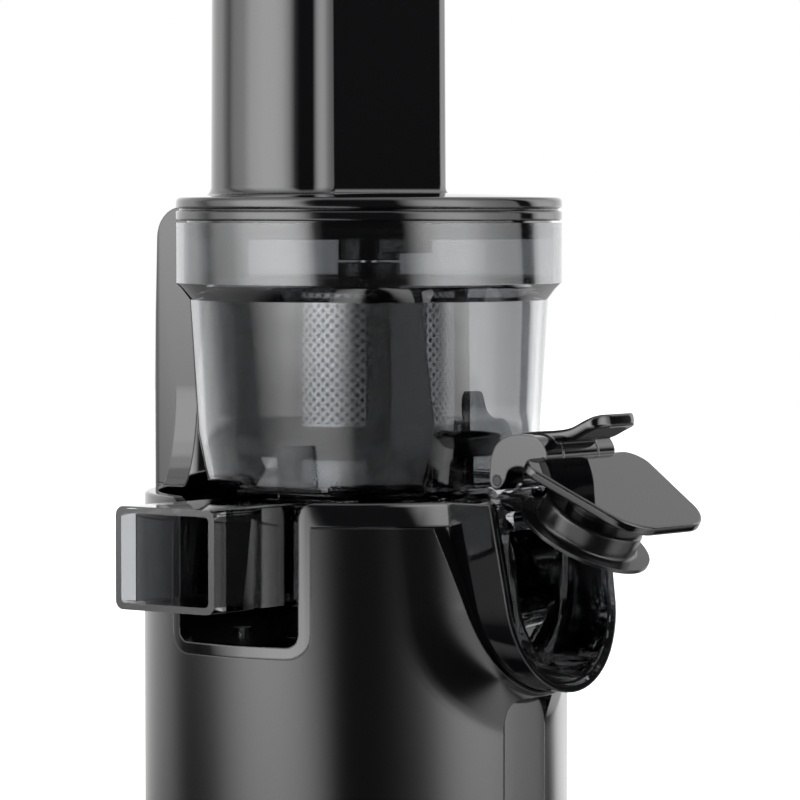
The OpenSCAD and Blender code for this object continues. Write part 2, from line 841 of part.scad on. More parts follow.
module control_board() color("#1f5a3a") union() {
    translate([-board_half, -board_front, board_z0]) cube([2 * board_half, board_t, board_z1 - board_z0]);
    for (z = button_places()) translate([-tact_half, -board_front - tact_t, z - tact_half])
        cube([2 * tact_half, tact_t + board_t / 2, 2 * tact_half]);
    translate([-board_chip, -board_front - board_chip_t, board_z1 - 2 * board_chip])
        cube([2 * board_chip, board_chip_t + board_t / 2, board_chip]);
    // legs that stand against the inside of the shell
    for (x = [-1, 1], z = [board_z0 + board_edge, board_z1 - board_edge])
        translate([x * (board_half - board_edge), -board_front, z]) rotate([90, 0, 0])
            cylinder(r = post_r_small, h = board_leg, $fn = 32);
}

// Side view of the post with its rear top edge rounded
module post_side() translate([-body_r, 0, 0]) rotate([90, 0, 90]) linear_extrude(2 * body_r)
    polygon(concat([[0, 0], [post_rear, 0]],
        arc(post_rear - post_lean - post_top_round, post_top - post_top_round, post_top_round, 0, 90, 8),
        [[0, post_top]]));

// Front view of the post's foot, which spreads along the rim in a curve
module post_spread() translate([0, 2 * body_r, 0]) rotate([90, 0, 0]) linear_extrude(2 * body_r)
    polygon(concat(
        [for (i = [0 : 8]) let (a = 90 * i / 8)
            [post_half + post_flare * (1 - sin(a)), post_flare_h * (1 - cos(a))]],
        [for (i = [8 : -1 : 0]) let (a = 90 * i / 8)
            [-post_half - post_flare * (1 - sin(a)), post_flare_h * (1 - cos(a))]]));

module rear_post() color(gloss_black) at_rim() difference() {
    union() {
        intersection() {
            linear_extrude(post_top) spine_plan();
            post_side();
        }
        intersection() {
            translate([0, body_back, 0]) cylinder(r = body_r - edge_round, h = post_flare_h);
            post_spread();
        }
    }
    translate([0, 0, -overrun]) cylinder(r = post_front, h = post_top + 2 * overrun);
    // channel for the switch and its wires, open to the rear
    translate([-post_half + post_wall, post_front + post_wall, post_wall])
        cube([2 * (post_half - post_wall), post_rear, post_top - switch_drop / 2 - post_wall]);
    // slot for the lid's tongue
    translate([-tongue_half - gap, 0, lid_z - gap]) cube([2 * (tongue_half + gap),
        lid_r + tongue_reach + 2 * gap, post_top]);
}

module post_cover() color(gloss_black) at_rim() intersection() {
    translate([-post_half + post_wall + fit, post_rear - post_lean - cover_t, post_wall + fit])
        cube([2 * (post_half - post_wall - fit), post_rear,
            post_top - switch_drop / 2 - post_wall - 2 * fit]);
    linear_extrude(post_top) spine_plan();
    post_side();
}

// Sealed switch that the magnet in the lid's tongue closes through the post's wall
module lid_switch() color("#2c2d30") at_rim()
    translate([-switch_w / 2, post_front + post_wall + fit, post_top - switch_drop / 2 - fit - switch_h])
        cube([switch_w, switch_d, switch_h]);

module lid_magnet() color(steel) at_rim() magnet_block(0);

module magnet_block(grow) translate([-magnet_w / 2 - grow, lid_r + tongue_reach - overrun - magnet_d - grow,
    lid_z]) cube([magnet_w + 2 * grow, magnet_d + 2 * grow, magnet_h + grow]);

module bottom_cover() color(satin_black) difference() {
    translate([0, body_back, foot_h]) cylinder(r = shell_in - cover_gap, h = cover_thick);
    for (a = [45 : 90 : 315]) translate([0, body_back, 0]) rotate(a) {
        translate([shell_in * foot_ring_share, 0, 0]) cylinder(r = foot_r + fit, h = foot_h + foot_sink);
    }
    for (a = screw_angles) translate([0, body_back, 0]) rotate(a)
        translate([shell_in - screw_ring_set, 0, 0]) {
            cylinder(r = screw_r + fit, h = rim_h);
            cylinder(r = screw_head_r + fit, h = foot_h + screw_head_t);
        }
    // cooling slots under the motor
    for (i = [-vent_count : vent_count]) translate([i * vent_pitch - vent_w / 2, body_back, 0])
        translate([0, -vent_len(i), 0]) cube([vent_w, 2 * vent_len(i), foot_h + 2 * cover_thick]);
}

// Half length of the cooling slot i, within a circle
function vent_len(i) = sqrt(pow(vent_r, 2) - pow(i * vent_pitch, 2));

module feet() color("#2a2a2b") for (a = [45 : 90 : 315]) translate([0, body_back, 0]) rotate(a)
    translate([shell_in * foot_ring_share, 0, 0]) cylinder(r = foot_r, h = foot_h + foot_sink);

module base_screws() color(steel) for (a = screw_angles) translate([0, body_back, 0]) rotate(a)
    translate([shell_in - screw_ring_set, 0, foot_h]) {
        cylinder(r = screw_head_r, h = screw_head_t);
        cylinder(r = screw_r, h = screw_len);
    }

// Bosses inside the shell for the bottom cover's screws
module shell_bosses() for (a = screw_angles) translate([0, body_back, 0]) rotate(a)
    translate([shell_in - screw_ring_set, 0, foot_h + cover_thick + fit]) difference() {
        cylinder(r = boss_r, h = boss_h);
        translate([0, 0, -overrun]) cylinder(r = screw_r + fit, h = boss_h);
    }

module power_inlet() color("#141415") at_rim() translate([0, 0, inlet_up - rim_h + body_foot])
    difference() {
        union() {
            inlet_block(0, 0);
            translate([-inlet_half_w - inlet_flange, post_rear, -inlet_flange])
                cube([2 * (inlet_half_w + inlet_flange), inlet_flange_t,
                    2 * (inlet_half_h + inlet_flange)]);
        }
        difference() {
            translate([-inlet_half_w + inlet_wall, post_rear - inlet_depth + inlet_wall, inlet_wall])
                cube([2 * (inlet_half_w - inlet_wall), inlet_depth + inlet_flange_t,
                    2 * (inlet_half_h - inlet_wall)]);
            for (x = [-1, 1]) translate([x * inlet_pin_pitch / 2, post_rear, inlet_half_h])
                rotate([90, 0, 0]) cylinder(r = inlet_pin_r, h = inlet_depth, $fn = 24);
        }
    }

// Points of the bowl's wall from the foot to the top edge, drawn in by inset
function bowl_wall_points(inset, foot, top) = concat(
    [[0, foot]],
    arc(bowl_foot_r - foot_round, foot + foot_round - inset, foot_round - inset, 270, 360, 6),
    [[bowl_foot_r + waist_swell - inset, waist_up],
     [bowl_upper_r - inset, band_foot - ledge_h + inset],
     [bowl_band_r - shoulder_r - inset, inset > 0 ? band_foot : band_foot - shoulder_r],
     [bowl_band_r - inset, inset > 0 ? band_foot : band_foot],
     [bowl_band_r - inset, top], [0, top]]);

// Places its children on the plug's seat, with Z along the outlet's axis towards the front
module seat_frame() translate([0, -seat_front, -outlet_drop]) rotate([90 - lip_lean, 0, 0])
    children();

module pulp_duct(inset, near, far) intersection() {
    translate([0, 0, -pulp_drop - overrun]) linear_extrude(pulp_drop + overrun)
        polygon([[-near, duct_half - inset], [-near, inset - duct_half],
            [-pulp_reach * duct_straight_share, inset - duct_half],
            [-far, inset - pulp_w / 2], [-far, pulp_w / 2 - inset],
            [-pulp_reach * duct_straight_share, duct_half - inset]]);
    aside(near, far) polygon(rounded(-pulp_w / 2 + inset, pulp_w / 2 - inset,
        -pulp_drop + inset, floor_z - inset, duct_round - inset / 2));
}

module across(half) translate([-half, 0, 0]) rotate([90, 0, 90]) linear_extrude(2 * half)
    children();

module spout_outer() {
    // round outlet chamber under the bowl's floor
    intersection() {
        seat_frame() translate([0, 0, spout_root - seat_front])
            cylinder(r = outlet_r + tray_wall, h = seat_front - spout_root);
        translate([-body_r, -2 * body_r, -body_r]) cube([2 * body_r, 2 * body_r, body_r + floor_z]);
    }
    // roof between the chamber and the bowl
    ahead(spout_root, seat_front - roof_short) square_between(-outlet_r, outlet_r, -outlet_drop, spout_top);
    // tray with the lip in front
    difference() {
        ahead(tray_back, 2 * body_r) polygon(spout_outline(-tube_inset, spout_top));
        lip_cut(0);
    }
    difference() {
        ahead(tray_back, 2 * body_r) polygon(spout_outline(0, spout_top));
        lip_cut(0);
        lip_behind(lip_t);
    }
    hinge_stalk();
}

// Cuts off what lies more than depth behind the leaning lip plane
module lip_behind(depth) translate([0, -lip_front, spout_top]) rotate([-lip_lean, 0, 0])
    translate([-body_r, depth, -2 * body_r]) cube([2 * body_r, 2 * body_r, 4 * body_r]);

module hinge_stalk() {
    across(knuckle_half) polygon([
        [-seat_front + stalk_t, spout_top - overrun], [-seat_front + 2 * stalk_t, spout_top - overrun],
        [-seat_front + 2 * stalk_t, hinge_up - hinge_r], [-seat_front + stalk_t, hinge_up + hinge_r / 2],
        [-hinge_front, hinge_up + hinge_r], [-hinge_front, hinge_up - hinge_r]]);
    translate([-knuckle_half, -hinge_front, hinge_up]) rotate([0, 90, 0])
        cylinder(r = hinge_r, h = 2 * knuckle_half);
}

module bowl() color(smoke, 0.5) at_rim() {
    difference() {
        union() {
            rotate_extrude() polygon(bowl_wall_points(0, floor_z, bowl_top));
            disc(recess_r + recess_wall, -recess_drop, floor_top);
            translate([0, -tall_front, 0]) disc(pocket_r + pocket_wall, -recess_drop, floor_top);
            pulp_duct(0, duct_root - pulp_wall, pulp_reach);
            spout_outer();
        }
        rotate_extrude() polygon(bowl_wall_points(bowl_wall, floor_top, bowl_top + overrun));
        disc(recess_r, recess_floor, floor_top + overrun);
        translate([0, -tall_front, 0]) disc(pocket_r, recess_floor, floor_top + overrun);
        disc(bowl_hub_bore, -recess_drop - overrun, 0);
        pulp_duct(pulp_wall, duct_root, pulp_reach + overrun);
        duct_slot(plug_lip, -pulp_drop - overrun, -pulp_drop + pulp_wall + overrun);
        // outlet chamber, its inlet through the floor and the plug's seat
        seat_frame() translate([0, 0, spout_root - seat_front + tray_wall])
            cylinder(r = outlet_r, h = 2 * seat_front);
        seat_frame() cylinder(r = recess_front_r, h = seat_front);
        translate([-inlet_hole_half, -bowl_foot_r + bowl_wall + overrun, -outlet_drop])
            cube([2 * inlet_hole_half, inlet_hole_d, outlet_drop + floor_top + overrun]);
        ahead(seat_front + drain_back, 2 * body_r) polygon(spout_outline(-tray_wall, overrun));
        translate([-body_r, -hinge_front, hinge_up]) rotate([0, 90, 0])
            cylinder(r = hinge_pin_r, h = 2 * body_r);
    }
    tube(bowl_hub_r, bowl_hub_bore, recess_floor - floor_t, bowl_hub_top);
}

module bowl_gasket() color(soft_grey) at_rim()
    tube(bowl_hub_bore, shaft_r + seal_gap, -recess_drop, bowl_hub_top);

// Soft gate that closes the clean-out slot in the pulp duct's floor
module pulp_duct_plug() color(soft_grey) at_rim() union() {
    duct_slot(0, -pulp_drop - plug_lip, -pulp_drop - fit);
    duct_slot(plug_lip + fit, -pulp_drop - plug_lip, -pulp_drop + pulp_wall);
}

// A block over the clean-out slot in the pulp duct's floor, drawn in by inset
module duct_slot(inset, z0, z1) translate([-recess_r - plug_slot_len + inset, -plug_slot_half + inset, z0])
    cube([plug_slot_len - 2 * inset, 2 * (plug_slot_half - inset), z1 - z0]);

module gear_pins() color(steel) at_rim() {
    translate([0, -flat_front, 0]) disc(gear_pin_r, recess_floor, gear_z + gear_h);
    translate([0, -tall_front, 0]) disc(gear_pin_r, recess_floor, tall_top + running);
}

// Idler gear, phase chosen so that a space faces the gear before it
module idler(n, front, h, turn) at_rim() translate([0, -front, gear_z]) difference() {
    union() {
        gear(n, h, turn);
        // boss that rests on the recess's floor
        disc(gear_pin_r + hub_wall / 2, recess_floor + gap - gear_z, h / 2);
    }
    translate([0, 0, recess_floor - gear_z]) cylinder(r = gear_pin_r + running, h = h - recess_floor);
}

module flat_idler() color("#e4e2dc") idler(flat_teeth, flat_front, gear_h, -90);

module tall_idler() color("#e4e2dc") idler(tall_teeth, tall_front, tall_top - gear_z, -90 + 180 / tall_teeth);

module auger_pinion() color("#2f3033") at_rim() translate([0, 0, gear_z]) difference() {
    gear(pinion_teeth, gear_h, -90);
    translate([0, 0, -overrun]) cylinder(r = pinion_bore, h = gear_h + 2 * overrun);
}

module cap_pin() color(steel) at_rim() translate([-hinge_half, -hinge_front, hinge_up])
    rotate([0, 90, 0]) cylinder(r = hinge_pin_r, h = 2 * hinge_half);

// Turns the closed cap up to its open place
module opened() translate([0, -hinge_front, hinge_up]) rotate([-cap_open, 0, 0])
    translate([0, hinge_front, -hinge_up]) children();

module juice_cap() color(gloss_black) at_rim() difference() {
    union() {
        opened() seat_frame() translate([0, 0, plate_z]) linear_extrude(cap_t) plate_outline();
        translate([0, -hinge_front, hinge_up]) {
            across(arm_half) let (top = curve(lever_shares, lever_steps)) polygon(concat(
                [for (p = top) [-p[0], p[1]] * lever_reach],
                [for (i = [len(top) - 1 : -1 : 3 * lever_steps]) let (p = top[i])
                    [-p[0] * lever_reach, p[1] * lever_reach - lever_t]],
                [[-hinge_r, 2 * hinge_r], [-hinge_r, 0]]));
            for (s = [-1, 1]) translate([s * (hinge_half + knuckle_half + knuckle_gap) / 2, 0, 0]) {
                across((hinge_half - knuckle_half - knuckle_gap) / 2)
                    polygon([for (p = curve(arm_shares, lever_steps)) [-p[0], p[1]] * lever_reach]);
                translate([-(hinge_half - knuckle_half - knuckle_gap) / 2, 0, 0]) rotate([0, 90, 0])
                    cylinder(r = hinge_r, h = hinge_half - knuckle_half - knuckle_gap);
            }
        }
    }
    // room for the bowl's knuckle and the hinge pin
    translate([-knuckle_half - knuckle_gap, -hinge_front, hinge_up]) rotate([0, 90, 0])
        cylinder(r = hinge_r + 2 * gap, h = 2 * (knuckle_half + knuckle_gap));
    translate([-body_r, -hinge_front, hinge_up]) rotate([0, 90, 0])
        cylinder(r = hinge_pin_r + running, h = 2 * body_r);
}

module plate_outline() polygon(concat([[cap_half, plate_end]], [[-cap_half, plate_end]],
    arc(-cap_half + plate_taper + plate_round, plate_end - cap_len + plate_round, plate_round, 180, 270, 6),
    arc(cap_half - plate_taper - plate_round, plate_end - cap_len + plate_round, plate_round, 270, 360, 6)));

module cap_plug() color(soft_grey) at_rim() opened() seat_frame() rotate_extrude()
    polygon(concat([[0, gap], [plug_nose_r, gap], [plug_r, plug_flange_t / 2 + gap],
        [plug_r, plug_flange_t + gap]],
        arc(plug_wall_r + plug_round, plug_flange_t + gap + plug_round, plug_round, 270, 180, 4),
        arc(plug_wall_r - plug_round, plug_flange_t + gap + plug_wall_h - plug_round, plug_round, 0, 90, 4),
        [[plug_neck_r, plug_flange_t + gap + plug_wall_h], [plug_neck_r, plate_z], [0, plate_z]]));

// Pillars between the sieve's windows
module pillars(r0, r1, z0, z1) difference() {
    tube(r1, r0, z0, z1);
    for (i = [0 : rib_count - 1]) rotate(pillar_turn + 360 * i / rib_count)
        translate([0, 0, z0 - overrun]) linear_extrude(z1 - z0 + 2 * overrun)
            polygon([[0, 0], for (a = [-window_angle / 2, 0, window_angle / 2]) 2 * r1 * [cos(a), sin(a)]]);
}

module strainer_frame() color("#303134") at_rim() difference() {
    union() {
        tube(base_r, 0, strainer_base_z, strainer_base_z + strainer_base_t);
        tube(sieve_out + rib_t, frame_in, strainer_base_z, band_low);
        tube(sieve_out + rib_t, frame_in, band_z0, band_z1);
        pillars(frame_in, sieve_out + rib_t, strainer_base_z, funnel_z);
        tube(sieve_out + rib_t, frame_in, sieve_top, funnel_z + funnel_t);
        tube(sieve_out + 2 * rib_t, frame_in, sieve_top, sieve_top + shelf_t);
        tube(bowl_band_r - bowl_wall - gap, frame_in, funnel_z, funnel_z + funnel_t);
        translate([-pulp_hole_r0, -pulp_hole_half, gear_z]) cube([collar_t, 2 * pulp_hole_half,
            strainer_base_z - gear_z + overrun]);
    }
    disc(neck_hole_r, strainer_base_z - overrun, strainer_base_z + strainer_base_t + overrun);
    // way out for the pulp
    intersection() {
        tube(sieve_r, pulp_hole_r0, strainer_base_z - overrun, strainer_base_z + 2 * strainer_base_t);
        translate([-body_r, -pulp_hole_half, strainer_base_z - overrun])
            cube([body_r, 2 * pulp_hole_half, 2 * strainer_base_t]);
    }
    // room for the tall idler gear
    translate([0, -tall_front, 0]) disc(tall_r + tooth_module + gap, gear_z, tall_top + gap);
}

module sieve(z0, z1) at_rim() tube(sieve_out, sieve_r, z0, z1);

module upper_sieve() color(steel) sieve(band_z1 - sieve_lap, sieve_top + sieve_lap);

module lower_sieve() color(steel) sieve(strainer_base_z + strainer_base_t + sleeve_gap, band_z0 + sieve_lap);

module wiper_frame() color("#2b2c2f") at_rim() union() {
    translate([0, 0, wiper_z]) difference() {
        cylinder(r = ring_out, h = wiper_ring_h);
        translate([0, 0, -overrun]) gear(ring_teeth, wiper_ring_h + 2 * overrun,
            -90 + 180 / ring_teeth, ring_foot, ring_head, -backlash / 2);
    }
    for (i = [0 : wiper_count - 1]) rotate(wiper_turn + 360 * i / wiper_count) {
        translate([ring_out - wiper_arm_t, -wiper_arm_half, wiper_z + wiper_ring_h / 2])
            cube([wiper_arm_t, 2 * wiper_arm_half, wiper_top - wiper_z - wiper_ring_h / 2]);
        translate([wiper_hub_r + wiper_hub_t / 2, -wiper_arm_half, wiper_top - wiper_top_h])
            cube([ring_out - wiper_hub_r - wiper_hub_t / 2, 2 * wiper_arm_half, wiper_top_h]);
    }
    tube(wiper_hub_r + wiper_hub_t, wiper_hub_r, wiper_top - wiper_top_h, wiper_top);
}

module wiper_blades() color(soft_grey) at_rim() for (i = [0 : wiper_count - 1])
    rotate(wiper_turn + 360 * i / wiper_count)
        translate([sieve_out + rib_t + blade_gap, -blade_t / 2, wiper_z + wiper_ring_h + gap])
            cube([ring_out - wiper_arm_t - sieve_out - rib_t - blade_gap, blade_t,
                sieve_top - wiper_z - wiper_ring_h - 2 * gap]);

// Radius of the auger's core at height z
function core_r(z) = core_foot_r + (core_top_r - core_foot_r)
    * (z - auger_foot) / (auger_shoulder - auger_foot);

module auger() color("#2a2b2e") at_rim() union() {
    difference() {
        rotate_extrude() polygon([[0, gear_z + gear_h], [neck_r, gear_z + gear_h],
            [neck_r, auger_foot], [core_foot_r, auger_foot], [core_r(auger_shoulder), auger_shoulder],
            [auger_hub_r, auger_shoulder + auger_hub_r - core_top_r + overrun],
            [auger_hub_r, auger_hub_top], [0, auger_hub_top]]);
        disc(hex_r + socket_wall, gear_z, socket_top);
        disc(pinion_bore, gear_z, gear_top_clear);
        disc(auger_pin_r, auger_hub_top - auger_pin_sink, auger_hub_top + overrun);
    }
    for (k = [0 : flight_count - 1]) rotate(360 * k / flight_count) flight();
}

// One flight of the screw, a tapered rib wound round the core
module flight() {
    n = round(flight_turns * flight_steps);
    points = [for (i = [0 : n]) let (
            a = 360 * flight_turns * i / n,
            z = flight_foot + (flight_top - flight_foot) * i / n,
            r0 = core_r(z) - overrun,
            swell = min(1, 4 * i / n, 4 * (n - i) / n + flight_top_share),
            r1 = r0 + overrun + (auger_r - r0 - overrun) * max(flight_end_share, swell)
        ) each [
            [r0 * cos(a), r0 * sin(a), z - flight_root_t / 2],
            [r1 * cos(a), r1 * sin(a), z - flight_tip_t / 2],
            [r1 * cos(a), r1 * sin(a), z + flight_tip_t / 2],
            [r0 * cos(a), r0 * sin(a), z + flight_root_t / 2]]];
    faces = concat([[0, 2, 1], [0, 3, 2]], [[4 * n, 4 * n + 1, 4 * n + 2], [4 * n, 4 * n + 2, 4 * n + 3]],
        [for (i = [0 : n - 1], k = [0 : 3]) let (p = 4 * i + k, q = 4 * i + (k + 1) % 4)
            each [[p, q + 4, p + 4], [p, q, q + 4]]]);
    polyhedron(points, faces);
}

module auger_socket() color(steel) at_rim() difference() {
    disc(hex_r + socket_wall, gear_top_clear, socket_top);
    translate([0, 0, gear_top_clear - overrun]) rotate(30)
        cylinder(r = hex_r + fit, h = socket_top - gear_top_clear, $fn = 6);
}

module auger_pin() color(steel) at_rim() disc(auger_pin_r, auger_hub_top - auger_pin_sink, auger_pin_top);

module lid() color(gloss_black) at_rim() union() {
    difference() {
        union() {
            rotate_extrude() polygon([[0, lid_z + lid_t - lid_wall],
                [lid_r - lid_wall, lid_z + lid_t - lid_wall],
                [lid_r - lid_wall, lid_z], [lid_r, lid_z], [lid_r, lid_z + lid_t * groove_low_share],
                [lid_r - lid_lip / 2, lid_z + lid_t / 2], [lid_r, lid_z + lid_t * groove_high_share],
                [lid_r, lid_z + lid_t - lid_lip / 2], [lid_r - lid_lip, lid_z + lid_t],
                [0, lid_z + lid_t + lid_dome]]);
            tube(skirt_r, skirt_r - lid_skirt_t, lid_z - lid_skirt_h, lid_z + lid_t - lid_wall / 2);
            translate([0, 0, lid_z]) linear_extrude(lid_t + chute_h) polygon(chute_outline(0));
            translate([-tongue_half, lid_r - lid_wall, lid_z]) cube([2 * tongue_half,
                tongue_reach + lid_wall, tongue_t]);
        }
        translate([0, 0, lid_z - overrun]) linear_extrude(lid_t + chute_h + 2 * overrun)
            polygon(chute_outline(chute_wall));
        translate([0, 0, -overrun]) magnet_block(fit);
        magnet_block(fit);
    }
    difference() {
        union() {
            disc(lid_hub_r, lid_hub_z, lid_z + lid_t - lid_wall);
            translate([-bridge_half, -bridge_front, lid_hub_z + bush_t])
                cube([2 * bridge_half, bridge_front, lid_z + lid_t - lid_wall / 2 - lid_hub_z - bush_t]);
        }
        disc(auger_pin_r + bush_t, lid_hub_z - overrun, auger_pin_top + gap);
    }
}

module lid_bush() color("#a07c4a") at_rim()
    tube(auger_pin_r + bush_t, auger_pin_r + running, lid_hub_z, auger_pin_top + gap);

module lid_seal() color(soft_grey) at_rim()
    tube(skirt_r + lid_skirt_gap, skirt_r, lid_z - lid_skirt_h * seal_low_share,
        lid_z - lid_skirt_h * seal_high_share);

module pusher() color("#1b1c1e") at_rim() translate([0, 0, lid_z + lid_t + pusher_rise]) difference() {
    linear_extrude(chute_h - pusher_rise) polygon(chute_outline(chute_wall + pusher_gap));
    translate([0, 0, pusher_floor]) linear_extrude(chute_h)
        polygon(chute_outline(chute_wall + pusher_gap + pusher_wall));
}

module pusher_grip() color("#1b1c1e") at_rim() translate([0, 0, lid_z + lid_t + chute_h]) union() {
    translate([0, 0, gap]) linear_extrude(grip_plate) polygon(chute_outline(-grip_over));
    linear_extrude(gap) polygon(chute_outline(chute_wall + pusher_gap));
    translate([0, 0, gap]) linear_extrude(grip_h) polygon(chute_outline(grip_neck));
}

body_shell();
top_collar();
drive_deck();
front_panel();
indicator_lens();
rear_post();
post_cover();
bottom_cover();
feet();
base_screws();
power_inlet();
motor();
gearbox();
gearbox_screws();
shaft_bush();
drive_seal();
control_board();
lid_switch();
drive_shaft();
power_button();
reverse_button();
bowl();
bowl_gasket();
pulp_duct_plug();
gear_pins();
cap_pin();
strainer_frame();
upper_sieve();
lower_sieve();
flat_idler();
tall_idler();
wiper_frame();
wiper_blades();
auger();
auger_pinion();
auger_socket();
auger_pin();
juice_cap();
cap_plug();
lid();
lid_bush();
lid_seal();
lid_magnet();
pusher();
pusher_grip();
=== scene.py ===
import json
import math
import bpy
import bmesh
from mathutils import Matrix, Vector


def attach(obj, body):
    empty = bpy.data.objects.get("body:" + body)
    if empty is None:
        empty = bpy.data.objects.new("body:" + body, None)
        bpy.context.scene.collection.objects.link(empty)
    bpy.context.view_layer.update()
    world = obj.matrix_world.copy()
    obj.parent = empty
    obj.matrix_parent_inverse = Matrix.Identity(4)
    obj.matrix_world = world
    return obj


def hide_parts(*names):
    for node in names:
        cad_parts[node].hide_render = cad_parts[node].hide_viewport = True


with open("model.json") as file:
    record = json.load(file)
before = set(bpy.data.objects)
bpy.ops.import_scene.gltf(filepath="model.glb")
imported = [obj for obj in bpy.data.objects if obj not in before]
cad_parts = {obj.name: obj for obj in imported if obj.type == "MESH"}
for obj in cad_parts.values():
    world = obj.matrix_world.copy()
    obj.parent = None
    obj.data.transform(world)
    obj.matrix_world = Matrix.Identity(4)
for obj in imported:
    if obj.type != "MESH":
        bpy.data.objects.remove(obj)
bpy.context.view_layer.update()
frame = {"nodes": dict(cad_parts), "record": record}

# Lengths are in mm: x to the right, y to the back, z up from the base's rim, angles in degrees
MM = 0.001
RIM = 180.0  # height of the rim above the table
NEAR_AXIS = 0.02  # smallest radius of a turned outline that closes on its axis

# Camera at the photo's angle, round to the left of the juice spout
CAMERA_AZIMUTH = -52.0
CAMERA_DISTANCE = 1516.7
CAMERA_HEIGHT = 94.5
CAMERA_YAW = 0.39
CAMERA_PITCH = 2.43
SENSOR = 36.0
LENS = 204.75
CLIP = (0.05, 30.0)  # nearest and farthest that it sees, in metres
azimuth = math.radians(CAMERA_AZIMUTH)
to_camera = Vector((math.sin(azimuth), -math.cos(azimuth), 0))
to_right = Vector((-to_camera.y, to_camera.x, 0))


def make_camera():
    """A long lens, aimed a little down and to the right."""
    data = bpy.data.cameras.new("camera")
    camera = bpy.data.objects.new("camera", data)
    bpy.context.scene.collection.objects.link(camera)
    data.sensor_width = SENSOR
    data.lens = LENS
    data.clip_start = CLIP[0]
    data.clip_end = CLIP[1]
    camera.location = to_camera * CAMERA_DISTANCE * MM + Vector((0, 0, (RIM + CAMERA_HEIGHT) * MM))
    yaw = math.radians(CAMERA_YAW)
    pitch = math.radians(CAMERA_PITCH)
    ahead = to_right * math.sin(yaw) - to_camera * math.cos(yaw)
    look = ahead * math.cos(pitch) - Vector((0, 0, 1)) * math.sin(pitch)
    camera.rotation_euler = look.to_track_quat("-Z", "Y").to_euler()
    bpy.context.scene.camera = camera


make_camera()
bpy.context.scene.view_settings.view_transform = "Standard"


# Nodes and materials
def linear(hex6):
    """Linear colour of an sRGB hex value."""
    out = []
    for i in (0, 2, 4):
        c = int(hex6[i:i + 2], 16) / 255
        out.append(c / 12.92 if c <= 0.04045 else ((c + 0.055) / 1.055) ** 2.4)
    return (*out, 1.0)


def add(tree, kind, inputs=None, **settings):
    """Adds a node. Each input, by name or place, takes another node's output or a value."""
    node = tree.nodes.new(kind)
    for key, value in settings.items():
        setattr(node, key, value)
    for key, value in (inputs or {}).items():
        if isinstance(value, bpy.types.NodeSocket):
            tree.links.new(value, node.inputs[key])
        else:
            node.inputs[key].default_value = value
    return node


materials = {}


def material(key, name, colour, rough, **more):
    """A new material under a key, with further sockets of its shader by name."""
    made = bpy.data.materials.new(name)
    made.use_nodes = True
    shader = next(n for n in made.node_tree.nodes if n.type == "BSDF_PRINCIPLED")
    shader.inputs["Base Color"].default_value = linear(colour)
    shader.inputs["Roughness"].default_value = rough
    for socket, value in more.items():
        shader.inputs[socket.replace("_", " ")].default_value = value
    materials[key] = made
    return made.node_tree, shader


def ease(tree, shader, radius):
    """Shades sharp edges as rounded by radius, and gives that normal back."""
    edge = add(tree, "ShaderNodeBevel", {"Radius": radius * MM})
    tree.links.new(edge.outputs["Normal"], shader.inputs["Normal"])
    return edge.outputs["Normal"]


def grain(tree, shader, size, height, radius):
    """Fine moulded grain over eased edges."""
    place = add(tree, "ShaderNodeTexCoord")
    noise = add(tree, "ShaderNodeTexNoise",
                {"Vector": place.outputs["Object"], "Scale": 1 / (size * MM), "Detail": 2.0})
    bump = add(tree, "ShaderNodeBump",
               {"Height": noise.outputs["Fac"], "Normal": ease(tree, shader, radius),
                "Strength": 1.0, "Distance": height * MM})
    tree.links.new(bump.outputs["Normal"], shader.inputs["Normal"])


